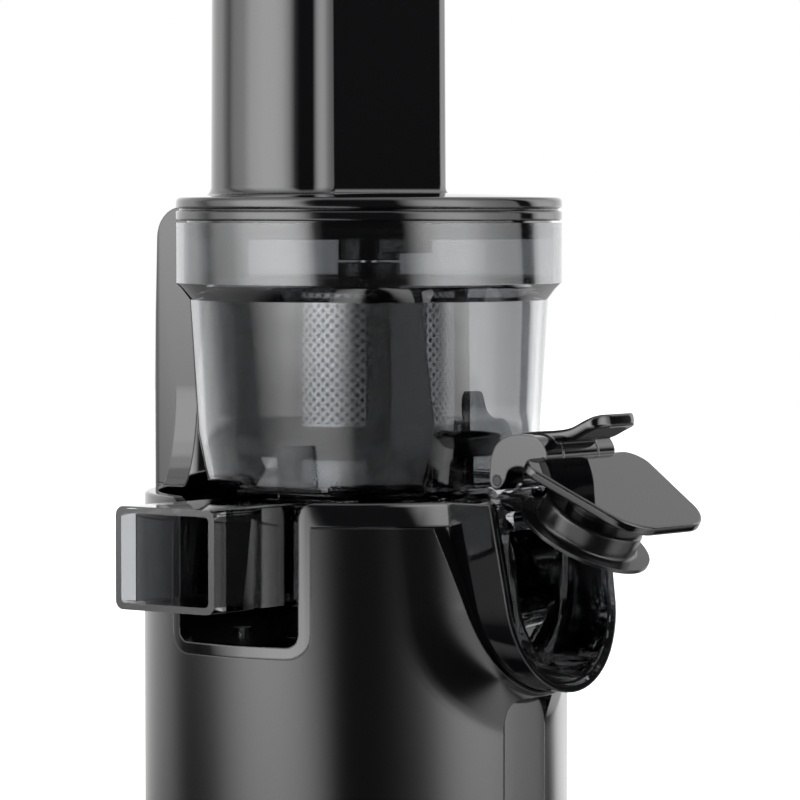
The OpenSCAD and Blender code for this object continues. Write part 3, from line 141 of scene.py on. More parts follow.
def perforate(tree, shader, pitch, row, hole, low, high):
    """Rows of round holes round a sieve, each row half a pitch on, painted dark in its steel as the shade
    seen through them.
    """
    place = add(tree, "ShaderNodeTexCoord")
    xyz = add(tree, "ShaderNodeSeparateXYZ", {0: place.outputs["Object"]})
    rows = add(tree, "ShaderNodeMath", {0: xyz.outputs["Z"], 1: 1 / (row * MM)}, operation="MULTIPLY")
    whole = add(tree, "ShaderNodeMath", {0: rows.outputs[0]}, operation="FLOOR")
    odd = add(tree, "ShaderNodeMath", {0: whole.outputs[0], 1: 2.0}, operation="MODULO")
    shift = add(tree, "ShaderNodeMath", {0: odd.outputs[0], 1: 0.5}, operation="MULTIPLY")
    turn = add(tree, "ShaderNodeMath", {0: xyz.outputs["Y"], 1: xyz.outputs["X"]}, operation="ARCTAN2")
    count = round(math.pi * (SIEVE_INSIDE + SIEVE_OUTSIDE) / pitch)
    along = add(tree, "ShaderNodeMath", {0: turn.outputs[0], 1: count / (2 * math.pi), 2: shift.outputs[0]},
                operation="MULTIPLY_ADD")
    cells = add(tree, "ShaderNodeCombineXYZ", {"X": along.outputs[0], "Y": rows.outputs[0]})
    share = add(tree, "ShaderNodeVectorMath", {0: cells.outputs[0]}, operation="FRACTION")
    middle = add(tree, "ShaderNodeVectorMath", {0: share.outputs[0], 1: (0.5, 0.5, 0)},
                 operation="SUBTRACT")
    away = add(tree, "ShaderNodeVectorMath", {0: middle.outputs[0], 1: (pitch, row, 0)},
               operation="MULTIPLY")
    reach = add(tree, "ShaderNodeVectorMath", {0: away.outputs[0]}, operation="LENGTH")
    inside = add(tree, "ShaderNodeMath", {0: reach.outputs["Value"], 1: hole / 2}, operation="LESS_THAN")
    above = add(tree, "ShaderNodeMath", {0: xyz.outputs["Z"], 1: (RIM + low) * MM},
                operation="GREATER_THAN")
    below = add(tree, "ShaderNodeMath", {0: xyz.outputs["Z"], 1: (RIM + high) * MM},
                operation="LESS_THAN")
    band = add(tree, "ShaderNodeMath", {0: above.outputs[0], 1: below.outputs[0]}, operation="MULTIPLY")
    holes = add(tree, "ShaderNodeMath", {0: inside.outputs[0], 1: band.outputs[0]}, operation="MULTIPLY")
    steel = tuple(shader.inputs["Base Color"].default_value)
    # Painted shade: the holes get a dark colour that stands for the shade seen through them
    dark = linear("0a0a0b")
    colour = add(tree, "ShaderNodeMix", {"Factor": holes.outputs[0], "A": steel, "B": dark},
                 data_type="RGBA")
    tree.links.new(colour.outputs["Result"], shader.inputs["Base Color"])
    metal = add(tree, "ShaderNodeMath", {0: 1.0, 1: holes.outputs[0]}, operation="SUBTRACT")
    tree.links.new(metal.outputs[0], shader.inputs["Metallic"])


# ABS off a textured mould: deep black with broad soft highlights. The real grain is finer
# than the render can show, so it is drawn 0.5 mm wide
satin = material("satin_black", "satin_abs_black", "040404", 0.2, IOR=1.5, Specular_IOR_Level=0.44)
grain(*satin, size=0.5, height=0.003, radius=0.5)

# ABS off a mirror-polished mould: black with crisp reflections and bright lines along its edges
gloss = material("gloss_black", "polished_abs_black", "040405", 0.04, IOR=1.5)
ease(*gloss, radius=0.7)

# The same polish on the pusher, which hands have dulled a little
material("gloss_grip", "polished_abs_black_grip", "050506", 0.06, IOR=1.5)

# Smoked copolyester, injection moulded: clear grey walls that darken where they are seen edge on
material("smoked_clear", "smoked_copolyester", "939597", 0.02, IOR=1.5, Transmission_Weight=1.0)

# Moulded silicone: dark and soft, with blurred highlights on round edges
silicone = material("dark_silicone", "dark_silicone", "0c0c0d", 0.22, IOR=1.41)
ease(*silicone, radius=0.5)

# Moulded rubber of the feet: dull dark grey
material("foot_rubber", "foot_rubber", "18181a", 0.7, IOR=1.5)

# Turned steel: pale metal with softened reflections
material("screw_steel", "turned_steel", "c4c6c8", 0.25, Metallic=1.0)

# Stainless sheet of the sieves' plain solids: bright metal with a light haze
material("sieve_steel", "perforated_steel", "d2d3d4", 0.28, Metallic=1.0)

# Sintered bronze: brown gold, dulled by its pores
material("bronze", "sintered_bronze", "a8814e", 0.45, Metallic=1.0)

# Rolled steel of the motor's can: grey metal with wide dull reflections
material("motor_steel", "rolled_steel", "a9abad", 0.4, Metallic=1.0)

# Die-cast aluminium: pale grey metal, matt from the die
material("gearbox_metal", "die_cast_aluminium", "b4b6b8", 0.5, Metallic=1.0)

# Glass fibre board under lacquer: green with a half gloss
material("board_green", "glass_fibre_board", "1f5a3a", 0.4, IOR=1.5)

# Moulded nylon: nearly black and half dull
material("switch_black", "moulded_nylon_black", "161617", 0.45, IOR=1.53)

# Clear acrylic: a pale glassy lens with one sharp highlight
material("lens_clear", "clear_acrylic", "e8ebee", 0.05, IOR=1.49, Transmission_Weight=0.7)

# Satin ABS of the buttons: a shade greyer than the strip round them, so that they stand off it
material("button_black", "satin_abs_button", "141416", 0.22, IOR=1.5)

# Moulded polyetherimide: dark heat-proof plastic with a soft gloss on its eased edges
polymer = material("dark_nylon", "moulded_polyetherimide_dark", "0b0b0c", 0.25, IOR=1.6)
ease(*polymer, radius=0.4)

# Blackened steel of the cap's pin: dark metal with a low shine
material("pin_steel", "blackened_steel", "2c2c2e", 0.3, Metallic=1.0)

# Sieves: thin sleeves round the auger, with foot, top and material of each
SIEVE_INSIDE = 28.4
SIEVE_OUTSIDE = 29.0
SIEVES = {"upper_sieve": (20.5, 67.2, "coarse_mesh"), "lower_sieve": (1.15, 13.5, "fine_mesh")}

# Stainless sheet punched with 1.5 mm holes: bright metal under an open pattern of dots, painted dark as the
# shade seen through the holes
coarse = material("coarse_mesh", "perforated_steel_coarse", "d2d3d4", 0.24, Metallic=1.0)
perforate(*coarse, pitch=3.4, row=1.62, hole=1.5, low=23.4, high=64.6)

# The same sheet punched with 0.8 mm holes, again painted dark as shade: its dots lie so close that it looks
# grey from afar
fine = material("fine_mesh", "perforated_steel_fine", "d2d3d4", 0.24, Metallic=1.0)
perforate(*fine, pitch=1.84, row=0.92, hole=0.8, low=1.6, high=12.2)

slot_of = {part["node"]: part["material_slot"] for part in frame["record"]["subparts"]}
body_of = {node: body for body, nodes in frame["record"]["behaviour"]["bodies"].items() for node in nodes}


def dress(obj, key):
    """Gives an object one material."""
    obj.data.materials.clear()
    obj.data.materials.append(materials[key])


for name, obj in frame["nodes"].items():
    dress(obj, slot_of[name])

# The strip is satin in the photo, and the cap's pin is dark
dress(frame["nodes"]["front_panel"], "satin_black")
dress(frame["nodes"]["cap_pin"], "pin_steel")


# Meshes
SMOOTH = 35  # angle up to which edges are shaded smooth
CUT_NEAR = 20.0  # cutting forms start inside the body's wall
CUT_FAR = 100.0  # and end outside it


def smooth(obj, angle):
    """Shades faces smooth and keeps edges sharp where they turn by more than an angle."""
    for face in obj.data.polygons:
        face.use_smooth = True
    obj.data.set_sharp_from_angle(angle=math.radians(angle))


def mesh_object(name, verts, faces):
    """A mesh from points counted from the rim."""
    mesh = bpy.data.meshes.new(name)
    mesh.from_pydata([(x * MM, y * MM, (z + RIM) * MM) for x, y, z in verts], [], faces)
    obj = bpy.data.objects.new(name, mesh)
    bpy.context.scene.collection.objects.link(obj)
    bm = bmesh.new()
    bm.from_mesh(mesh)
    bmesh.ops.remove_doubles(bm, verts=bm.verts, dist=1e-6)
    bmesh.ops.recalc_face_normals(bm, faces=bm.faces)
    bm.to_mesh(mesh)
    bm.free()
    smooth(obj, SMOOTH)
    return obj


def weigh(obj):
    """Keeps wide faces flat beside their rounded edges."""
    mod = obj.modifiers.new("weighted", "WEIGHTED_NORMAL")
    mod.keep_sharp = True
    mod.weight = 100
    return obj


def loft(rings, closed=False):
    """Faces between rings of equal length. Closed, the last ring meets the first, else both are capped."""
    n = len(rings[0])
    verts = [point for ring in rings for point in ring]
    faces = []
    for i in range(len(rings) if closed else len(rings) - 1):
        a = i * n
        b = (i + 1) % len(rings) * n
        faces += [(a + k, a + (k + 1) % n, b + (k + 1) % n, b + k) for k in range(n)]
    if not closed:
        faces.append(tuple(range(n - 1, -1, -1)))
        faces.append(tuple(range(len(verts) - n, len(verts))))
    return verts, faces


def lathe(outline, n=192, axis_y=0.0):
    """Turns a closed outline of radius and height about an upright axis."""
    rings = []
    for r, z in outline:
        turns = [2 * math.pi * k / n for k in range(n)]
        rings.append([(r * math.cos(turn), axis_y + r * math.sin(turn), z) for turn in turns])
    return loft(rings, closed=True)


def arc(cx, cy, r, a0, a1, n=8):
    """Points on an arc from angle a0 to a1."""
    turns = [math.radians(a0 + (a1 - a0) * i / n) for i in range(n + 1)]
    return [(cx + r * math.cos(turn), cy + r * math.sin(turn)) for turn in turns]


def rounded(x0, x1, y0, y1, r, n=10):
    """Rectangle with round corners."""
    return (arc(x1 - r, y1 - r, r, 0, 90, n) + arc(x0 + r, y1 - r, r, 90, 180, n)
            + arc(x0 + r, y0 + r, r, 180, 270, n) + arc(x1 - r, y0 + r, r, 270, 360, n))


def curve(points, n=8):
    """Smooth line through points."""
    out = []
    for i in range(len(points) - 1):
        a = points[max(0, i - 1)]
        b = points[i]
        c = points[i + 1]
        d = points[min(len(points) - 1, i + 2)]
        for k in range(n):
            t = k / n
            out.append(tuple((2 * b[j] + (c[j] - a[j]) * t + (2 * a[j] - 5 * b[j] + 4 * c[j] - d[j]) * t * t
                              + (3 * b[j] - a[j] - 3 * c[j] + d[j]) * t ** 3) / 2 for j in (0, 1)))
    return out + [points[-1]]


def prism(outline, z0, z1):
    """An outline in x and y, carried up."""
    return loft([[(x, y, z) for x, y in outline] for z in (z0, z1)])


def block(x0, x1, y0, y1, z0, z1):
    """A box between limits in x, y and z."""
    return prism([(x0, y0), (x1, y0), (x1, y1), (x0, y1)], z0, z1)


def ahead_prism(outline, near, far):
    """An outline in x and z, carried ahead."""
    return loft([[(x, -y, z) for x, z in outline] for y in (near, far)])


def aside_prism(outline, near, far):
    """An outline in y and z, carried to the left."""
    return loft([[(-x, y, z) for y, z in outline] for x in (near, far)])


def join(parts):
    """One vertex and face list from several."""
    verts = []
    faces = []
    for part_verts, part_faces in parts:
        base = len(verts)
        verts += part_verts
        faces += [tuple(i + base for i in face) for face in part_faces]
    return verts, faces


def fuse(pieces, angle):
    """Joins objects into the first one."""
    bpy.ops.object.select_all(action="DESELECT")
    for part in pieces:
        part.select_set(True)
    bpy.context.view_layer.objects.active = pieces[0]
    bpy.ops.object.join()
    smooth(pieces[0], angle)
    return pieces[0]


def cut(obj, verts, faces):
    """Takes a closed form out of an object."""
    tool = mesh_object("tool", verts, faces)
    mod = obj.modifiers.new("cut", "BOOLEAN")
    mod.operation = "DIFFERENCE"
    mod.solver = "EXACT"
    mod.object = tool
    bpy.context.view_layer.objects.active = obj
    bpy.ops.object.modifier_apply(modifier=mod.name)
    bpy.data.objects.remove(tool)


def piece(obj, node, key=None):
    """Puts a mesh in a solid's place, with its body and the material of the solid's slot, or of a key if
    one is given.
    """
    dress(obj, key or slot_of[node])
    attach(obj, body_of[node])
    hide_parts(node)


# Lid with feed chute. The chute's plan is a circle with a flat side and two round corners
CHUTE_RADIUS = 41.47
CHUTE_CENTRE = 14.5
CHUTE_FLAT = -8.0
CHUTE_CORNER = 11.0
CHUTE_WALL = 2.5
CHUTE_FOOT = 97.8
CHUTE_FILLET = 3.6
CHUTE_SHOULDER = 211.5  # where the rounding of its upper edge starts
CHUTE_TOP = 212.7
CHUTE_DRAFT = 0.6
CHUTE_BANDS = 4
CHUTE_INNER_FOOT = 95.2

LID_RADIUS = 64.3
LID_UNDER = 90.0
LID_INSIDE = 61.9
LID_CEILING = 94.9
LID_TOP = 97.7
LID_ROUND = 1.6
LID_ROOT = 95.5  # height to which the rings under the lid reach into its plate
LID_SMOOTH = 32
EASE = 0.3  # small rounding of edges

# Groove round the edge as depth and height above the underside, and crown as radius and rise
LID_GROOVE = [(0, 2.7), (0.3, 3.15), (1.1, 3.3), (1.1, 3.9), (0.3, 4.05), (0, 4.5)]
LID_CROWN = [(60, 0.15), (56, 0.45), (48, 0.9), (38, 1.25), (24, 1.45), (NEAR_AXIS, 1.5)]

# Inner and outer radius and foot of the skirt inside the bowl and of the boss for the auger's pin
LID_SKIRT = (58.9, 60.9, 84.0)
LID_BOSS = (6.0, 10.4, 76.9)

# Limits in x, y and z of the arm that holds the boss and of the tongue that holds the magnet
BOSS_ARM = (-7, 7, -21, -9.6, 79.2, 96.4)
LID_TONGUE = (-5, 5, 61.9, 71.3, 90, 93)


def chute_outline(inset):
    """The chute's plan, moved in by inset."""
    radius = CHUTE_RADIUS - inset
    corner = CHUTE_CORNER - inset
    y = CHUTE_FLAT + CHUTE_CORNER
    x = math.sqrt((CHUTE_RADIUS - CHUTE_CORNER) ** 2 - (y - CHUTE_CENTRE) ** 2)
    side = math.degrees(math.atan2(y - CHUTE_CENTRE, x))
    return (arc(0, CHUTE_CENTRE, radius, side, 180 - side, 96)
            + arc(-x, y, corner, 180 - side, 270, 12)[1:]
            + arc(x, y, corner, 270, 360 + side, 12)[:-1])


def make_chute():
    """Tube with a fillet at its foot and a rounded upper edge."""
    neck = CHUTE_FOOT + CHUTE_FILLET
    profile = arc(-CHUTE_FILLET, neck, CHUTE_FILLET, -90, 0, 10)
    for i in range(1, CHUTE_BANDS + 1):
        share = i / CHUTE_BANDS
        profile.append((CHUTE_DRAFT * share, neck + (CHUTE_SHOULDER - neck) * share))
    profile += [(0.9, CHUTE_TOP - EASE), (1.6, CHUTE_TOP), (CHUTE_WALL, CHUTE_TOP - EASE),
                (CHUTE_WALL, CHUTE_INNER_FOOT)]
    return loft([[(x, y, z) for x, y in chute_outline(inset)] for inset, z in profile], closed=True)


def ring_under_lid(inner, outer, foot, n):
    """Ring from an eased foot up into the lid's plate."""
    return lathe([(inner, foot + EASE), (inner + EASE, foot), (outer - EASE, foot), (outer, foot + EASE),
                  (outer, LID_ROOT), (inner, LID_ROOT)], n)


def make_lid():
    """Crowned plate with a grooved edge, the chute, and the pieces under the plate."""
    outline = [(LID_INSIDE - EASE, LID_CEILING), (LID_INSIDE, LID_CEILING - EASE),
               (LID_INSIDE, LID_UNDER + EASE), (LID_INSIDE + EASE, LID_UNDER),
               (LID_RADIUS - 0.4, LID_UNDER), (LID_RADIUS, LID_UNDER + 0.4)]
    outline += [(LID_RADIUS - depth, LID_UNDER + height) for depth, height in LID_GROOVE]
    outline += arc(LID_RADIUS - LID_ROUND, LID_TOP - LID_ROUND, LID_ROUND, 0, 80, 8)
    outline += [(radius, LID_TOP + rise) for radius, rise in LID_CROWN]
    outline += [(NEAR_AXIS, LID_CEILING)]
    disc = mesh_object("lid_look", *lathe(outline, 256))
    # The opening is a little wider than the chute's inside, so that the chute's wall covers its edge
    cut(disc, *prism(chute_outline(CHUTE_WALL - 0.1), LID_UNDER - 10, LID_TOP + 10))
    parts = [make_chute(), ring_under_lid(*LID_SKIRT, 256), ring_under_lid(*LID_BOSS, 96), block(*BOSS_ARM),
             block(*LID_TONGUE)]
    return weigh(fuse([disc, mesh_object("lid_rest", *join(parts))], LID_SMOOTH))


# Body shell. Its round wall has its own axis behind the bowl's
BODY_RADIUS = 70.7
BODY_INSIDE = 68.1
BODY_AXIS = 5.5
BODY_TOP = -7.8
BODY_FOOT = -176.0
BODY_ROUND = 5.0
BODY_BANDS = (-140, -86, -40)  # heights that part the wall into calm bands
BODY_SMOOTH = 32

# Openings as limits and corner radius: pulp window in y and z, front strip in x and z
PULP_WINDOW = (-25.8, 29.3, -50.5, 9, 7.8)
STRIP_OPENING = (-11.4, 11.4, -164, -64.5, 4.5)

# Spine behind the wall, and limits in x, y and z of the power inlet's pocket in it
SPINE_HALF = 12.5
SPINE_BACK = 86.0
SPINE_ROOT = 70.0
SPINE_ROUND = 5.0
INLET_POCKET = (-9.8, 9.8, 73.8, 87.5, -164.2, -152.6)

# Opening for the juice spout: a U whose round end has this centre and radius
U_CENTRE = -32.0
U_RADIUS = 28.0
U_TOP_HALF = 30.0  # half width at the top of its tapering sides
U_TAPER_TOP = -1.0  # height above which the sides stand straight

# Flare round the U. It falls from the U's front edge and runs out into the wall along a
# quarter of an ellipse
FLARE_LIP = 2.4
FLARE_START = 3.5
FLARE_WIDTH = 16.0
FLARE_TOP = -8.2
FLARE_REACH = 74.0  # how far ahead the U's front edge stands
FLARE_SINK = 0.02  # slope outwards that lets its outer edge end in the wall
FLARE_BACK = 20.0  # how far ahead its hidden inner end stands before the body's inside is cut out
FLARE_HOLLOW = (-100, 5)
SEAM_Y = -57.0
SEAM_Z = -8.6
SEAM_LEAN = 17.5


def u_outline(grow, top):
    """The U's outline in x and z, moved out by grow."""
    half = U_TOP_HALF + grow
    ends = [(-half, top)]
    if top > U_TAPER_TOP:
        ends.append((-half, U_TAPER_TOP))
    return ends + arc(0, U_CENTRE, U_RADIUS + grow, 180, 360, 64) + [(-x, z) for x, z in reversed(ends)]


def wall_ahead(x):
    """How far ahead the round wall stands at x."""
    return math.sqrt(BODY_RADIUS ** 2 - x ** 2) - BODY_AXIS


def seam_y(z):
    """Where the leaning seam between collar and flare is at height z."""
    return SEAM_Y + math.tan(math.radians(SEAM_LEAN)) * (z - SEAM_Z)


def make_flare():
    """Hollow curve that carries the wall out to the juice spout, swept along the U."""
    steps = [(FLARE_LIP, 1.0)]
    for a in range(0, 91, 5):
        turn = math.radians(a)
        steps.append((FLARE_START + FLARE_WIDTH * (1 - math.cos(turn)), 1 - math.sin(turn)))
    outlines = [u_outline(grow, FLARE_TOP) for grow, share in steps]
    rings = []
    for k in range(len(outlines[0])):
        rise = FLARE_REACH - wall_ahead(outlines[1][k][0])
        ring = []
        for outline, (grow, share) in zip(outlines, steps):
            x, z = outline[k]
            ring.append((x, FLARE_SINK * (grow - FLARE_START) - wall_ahead(x) - rise * share, z))
        for outline in (outlines[-1], outlines[0]):
            x, z = outline[k]
            ring.append((x, -FLARE_BACK, z))
        rings.append(ring)
    flare = mesh_object("flare", *loft(rings))
    # Ahead of the seam the collar takes over
    high, low, front, side = 10, -120, -200, 80
    ahead = [(seam_y(high), high), (seam_y(low), low), (front, low), (front, high)]
    cut(flare, *aside_prism(ahead, -side, side))
    return flare


def make_body():
    """Round wall with its openings, flare and spine."""
    wall = arc(BODY_RADIUS - BODY_ROUND, BODY_FOOT + BODY_ROUND, BODY_ROUND, 270, 360, 10)
    wall += [(BODY_RADIUS, z) for z in BODY_BANDS]
    wall += [(BODY_RADIUS - 0.02, BODY_TOP - 0.5), (BODY_RADIUS - 0.35, BODY_TOP), (BODY_INSIDE, BODY_TOP),
             (BODY_INSIDE, -90), (BODY_INSIDE, BODY_FOOT)]
    body = mesh_object("body_look", *lathe(wall, 256, BODY_AXIS))
    cut(body, *aside_prism(rounded(*PULP_WINDOW), CUT_NEAR, CUT_FAR))
    cut(body, *ahead_prism(u_outline(FLARE_LIP, 5), CUT_NEAR, CUT_FAR))
    flare = make_flare()
    low, high = FLARE_HOLLOW
    hollow = [(NEAR_AXIS, low), (BODY_INSIDE, low), (BODY_INSIDE, high), (NEAR_AXIS, high)]
    cut(flare, *lathe(hollow, 256, BODY_AXIS))
    for part in (body, flare):
        cut(part, *ahead_prism(rounded(*STRIP_OPENING), CUT_NEAR, CUT_FAR))
    corner = SPINE_HALF - SPINE_ROUND
    plan = (arc(corner, SPINE_BACK - SPINE_ROUND, SPINE_ROUND, 0, 90, 10)
            + arc(-corner, SPINE_BACK - SPINE_ROUND, SPINE_ROUND, 90, 180, 10)
            + [(-SPINE_HALF, SPINE_ROOT), (SPINE_HALF, SPINE_ROOT)])
    spine = mesh_object("spine", *prism(plan, BODY_FOOT, BODY_TOP))
    cut(spine, *block(*INLET_POCKET))
    return weigh(fuse([body, flare, spine], BODY_SMOOTH))


# Juice cap: a plate on a lever that turns about the hinge over the spout
HINGE_Y = -67.0
HINGE_Z = 6.5
HINGE_HOLE = 1.7
OPEN_TURN = -51.5  # from shut to open, as in the photo
OUTLET_Y = -64.2
OUTLET_Z = -21.5
OUTLET_LEAN = 81.0  # from the plate's own plane to the shut cap's
CAP_SMOOTH = 38

PLATE_SIDE = 32.5
PLATE_END = 15.7
PLATE_FOOT_SIDE = 25.5
PLATE_FOOT = -28.3
PLATE_CORNER = 7.0
PLATE_CORNER_IN = 7.6  # from the widest line in to the corner's centre
PLATE_FOOT_CORNER = 15.0
PLATE_BACK = 20.0
PLATE_FRONT = 23.4
PLATE_EASE = 1.0

# Upper line of the lever and side view of its arms, ahead of and above the hinge, as
# shares of the lever's reach
LEVER_LINE = [(-0.085, 0), (-0.07, 0.2), (0.0, 0.36), (0.12, 0.43), (0.3, 0.455), (0.5, 0.47),
              (0.66, 0.5), (0.8, 0.565), (0.92, 0.615), (1, 0.63)]
ARM_SIDE = [(-0.085, 0), (-0.07, 0.2), (0.0, 0.34), (0.15, 0.42), (0.32, 0.43), (0.47, 0.4),
            (0.56, 0.27), (0.52, 0.15), (0.38, 0.12), (0.24, 0.14), (0.13, 0.1), (0.085, 0),
            (0, -0.085), (-0.06, -0.06)]
LEVER_REACH = 35.0
LEVER_HALF = 11.5
LEVER_THICK = 4.2
LEVER_CORNER = 6.0
LEVER_EASE = 1.4  # rounding of its edges, and how much its end thins
LEVER_TIP = 1.2  # length over which the lever thins to its end
NECK_HALF = 10.0
NECK_START = 5.6  # how far ahead of the hinge the neck between the arms starts
ARM_INSIDE = 9.4
ARM_OUTSIDE = 19.0


def plate_outline(inset):
    """The plate's outline in its own plane, moved in by inset."""
    corner = PLATE_CORNER - inset
    low_corner = PLATE_FOOT_CORNER - inset
    x = PLATE_SIDE - PLATE_CORNER_IN
    y = PLATE_END - PLATE_CORNER
    low_x = PLATE_FOOT_SIDE - PLATE_FOOT_CORNER
    low_y = PLATE_FOOT + PLATE_FOOT_CORNER
    slope = math.degrees(math.atan2(PLATE_SIDE - PLATE_FOOT_SIDE, PLATE_END - PLATE_FOOT))
    return (arc(x, y, corner, -slope, 90, 10)
            + arc(-x, y, corner, 90, 180 + slope, 10)
            + arc(-low_x, low_y, low_corner, 180 + slope, 270, 16)
            + arc(low_x, low_y, low_corner, 270, 360 - slope, 16))


def turned(y, z, degrees):
    """Turns a point in y and z about the x axis."""
    a = math.radians(degrees)
    return y * math.cos(a) - z * math.sin(a), y * math.sin(a) + z * math.cos(a)


def open_cap(x, y, z):
    """Takes a point from the plate's own plane to its place on the open cap."""
    y, z = turned(y, z, OUTLET_LEAN)
    y, z = turned(OUTLET_Y + y - HINGE_Y, OUTLET_Z + z - HINGE_Z, OPEN_TURN)
    return x, HINGE_Y + y, HINGE_Z + z


def make_plate():
    """Flat plate with eased edges in its open place."""
    edge = (arc(0, PLATE_BACK + PLATE_EASE, PLATE_EASE, -90, 0, 6)
            + arc(0, PLATE_FRONT - PLATE_EASE, PLATE_EASE, 0, 90, 6))
    return loft([[open_cap(x, y, z) for x, y in plate_outline(PLATE_EASE - out)] for out, z in edge])


def make_lever():
    """Bar under the upper line, with round corners and a thinner edge at its end."""
    line = curve([(LEVER_REACH * p, LEVER_REACH * q) for p, q in LEVER_LINE])
    rings = []
    for i, (p, q) in enumerate(line):
        before = line[max(0, i - 1)]
        after = line[min(len(line) - 1, i + 1)]
        step = math.dist(before, after)
        across = (before[1] - after[1]) / step
        up = (after[0] - before[0]) / step
        left = math.dist(line[-1], (p, q))
        half = LEVER_HALF
        if left < LEVER_CORNER:
            half -= LEVER_CORNER - math.sqrt(LEVER_CORNER ** 2 - (LEVER_CORNER - left) ** 2)
        thick = LEVER_THICK
        if left < LEVER_TIP:
            thick -= LEVER_EASE * (1 - math.sqrt(1 - (1 - left / LEVER_TIP) ** 2))
        section = rounded(-half, half, -(LEVER_THICK + thick) / 2, (thick - LEVER_THICK) / 2, LEVER_EASE, 5)
        rings.append([(x, HINGE_Y - p - v * across, HINGE_Z + q + v * up) for x, v in section])
    return loft(rings)


def make_cap():
    """Plate and lever with a neck between two arms, which are drilled for the pin."""
    arm_line = curve([(LEVER_REACH * p, LEVER_REACH * q) for p, q in ARM_SIDE])
    side = [(HINGE_Y - p, HINGE_Z + q) for p, q in arm_line]
    neck = aside_prism([(y, z) for y, z in side if HINGE_Y - y > NECK_START], NECK_HALF, -NECK_HALF)
    pieces = [mesh_object("cap_look", *join([make_plate(), make_lever(), neck]))]
    for near, far in ((ARM_OUTSIDE, ARM_INSIDE), (-ARM_INSIDE, -ARM_OUTSIDE)):
        arm = mesh_object("arm", *aside_prism(side, near, far))
        cut(arm, *aside_prism(arc(HINGE_Y, HINGE_Z, HINGE_HOLE, 0, 345, 23), 25, -25))
        pieces.append(arm)
    return weigh(fuse(pieces, CAP_SMOOTH))


def make_sieve(name, foot, top):
    """Plain thin sleeve, whose holes are in its material."""
    wall = [(SIEVE_INSIDE, foot), (SIEVE_OUTSIDE, foot), (SIEVE_OUTSIDE, top), (SIEVE_INSIDE, top)]
    return mesh_object(name, *lathe(wall))


# Solids whose own form already is the real one
AS_BUILT = ("top_collar", "rear_post", "drive_deck", "strainer_frame", "cap_plug", "tall_idler",
            "flat_idler", "auger", "auger_pinion", "wiper_blades", "lid_bush", "bowl_gasket", "power_inlet")

# The wiper's three arms are narrower in the photo than in the solid: the sides of the arms at
# these turns, half a width from their middle, move to WIPER_ARM_SIDES
WIPER_ARM_TURNS = (117, 237, 357)
WIPER_ARM_HALF = 8.0
WIPER_ARM_SIDES = (-7.0, 2.0)
WIPER_ARM_START = 30.0
WIPER_ARM_FOOT = 18.7
WIPER_ARM_NEAR = 0.05  # how near to a side a point counts as on it


def narrow_arms(mesh):
    """Moves the points on the sides of the wiper's arms."""
    for vertex in mesh.vertices:
        x, y, z = (length / MM for length in vertex.co)
        for degrees in WIPER_ARM_TURNS:
            c = math.cos(math.radians(degrees))
            s = math.sin(math.radians(degrees))
            out = x * c + y * s
            across = y * c - x * s
            on_arm = out > WIPER_ARM_START and z - RIM > WIPER_ARM_FOOT
            if on_arm and abs(abs(across) - WIPER_ARM_HALF) < WIPER_ARM_NEAR:
                side = WIPER_ARM_SIDES[across > 0]
                vertex.co.x = (out * c - side * s) * MM
                vertex.co.y = (out * s + side * c) * MM


def as_built(node, angle=14, weighted=True, reshape=None):
    """Replaces a solid by its own form with the facets shaded smooth."""
    source = frame["nodes"][node]
    obj = bpy.data.objects.new(node + "_look", source.data.copy())
    obj.matrix_world = source.matrix_world
    bpy.context.scene.collection.objects.link(obj)
    bm = bmesh.new()
    bm.from_mesh(obj.data)
    bmesh.ops.remove_doubles(bm, verts=bm.verts, dist=2e-6)
    bm.to_mesh(obj.data)
    bm.free()
    if "custom_normal" in obj.data.attributes:
        obj.data.attributes.remove(obj.data.attributes["custom_normal"])
    if reshape:
        reshape(obj.data)
    smooth(obj, angle)
    if weighted:
        weigh(obj)
    piece(obj, node)


piece(make_lid(), "lid")
piece(make_body(), "body_shell")
piece(make_cap(), "juice_cap")
for node, (foot, top, key) in SIEVES.items():
    piece(make_sieve(node + "_look", foot, top), node, key)
for node in AS_BUILT:
    as_built(node)

# The bowl's long clear walls stay calm with a smaller angle and no weighting
as_built("bowl", angle=9, weighted=False)
as_built("wiper_frame", reshape=narrow_arms)


# Matt white floor. Gloss doesn't mirror it, because the photo's object stands on plain white
FLOOR_SIZE = 8


def make_floor():
    bpy.ops.mesh.primitive_plane_add(size=FLOOR_SIZE, location=(0, 0, 0))
    floor = bpy.context.object
    floor.name = "floor"
    material("floor", "floor_white", "f4f4f4", 0.6)
    dress(floor, "floor")
    floor.visible_glossy = False


make_floor()

# Soft studio light as a plain function of direction: dark behind the camera, a tall softbox
# that leans over at each side, pale beyond. Angles count from the camera's direction, and
# strengths are radiance where the backdrop is 1
STUDIO = [(-180, 1.1), (-140, 1.3), (-126, 1.6), (-118, 1.1), (-112, 0.8), (-104, 2.1), (-90, 3.3),
          (-80, 5.8), (-66, 7.2), (-54, 7.5), (-46, 6.8), (-39, 4.4), (-33, 0.5), (-28, 0.06), (19, 0.06),
          (24, 1.8), (32, 4.6), (42, 6.2), (56, 6.3), (66, 5.0), (74, 3.5), (90, 2.1), (100, 1.7),
          (102, 0.05), (112, 0.05), (115, 2.0), (121, 3.0), (134, 2.2), (146, 1.3), (180, 1.1)]
PEAK = 8.0
OVERHEAD = 1.8

# Softboxes lean by LEAN radians for each unit of height within these heights
LEAN = 3.2
LEAN_HEIGHTS = (-0.13, 0.02)

# Below the horizon the light between two angles on the left is dimmed to a share
DIM_ANGLES = (-128, -100)
DIM_SHARE = 0.06

# Heights over which the dimmed light and the overhead light come in
DIM = (-0.02, -0.1)
CEILING = (0.6, 0.9)

# Heights from and to, and factors from and to, of the fades above and below the softboxes
FADE_ABOVE = (0.3, 0.5, 1.0, 0.75)
FADE_BELOW = (-0.155, -0.128, 0.35, 1.0)


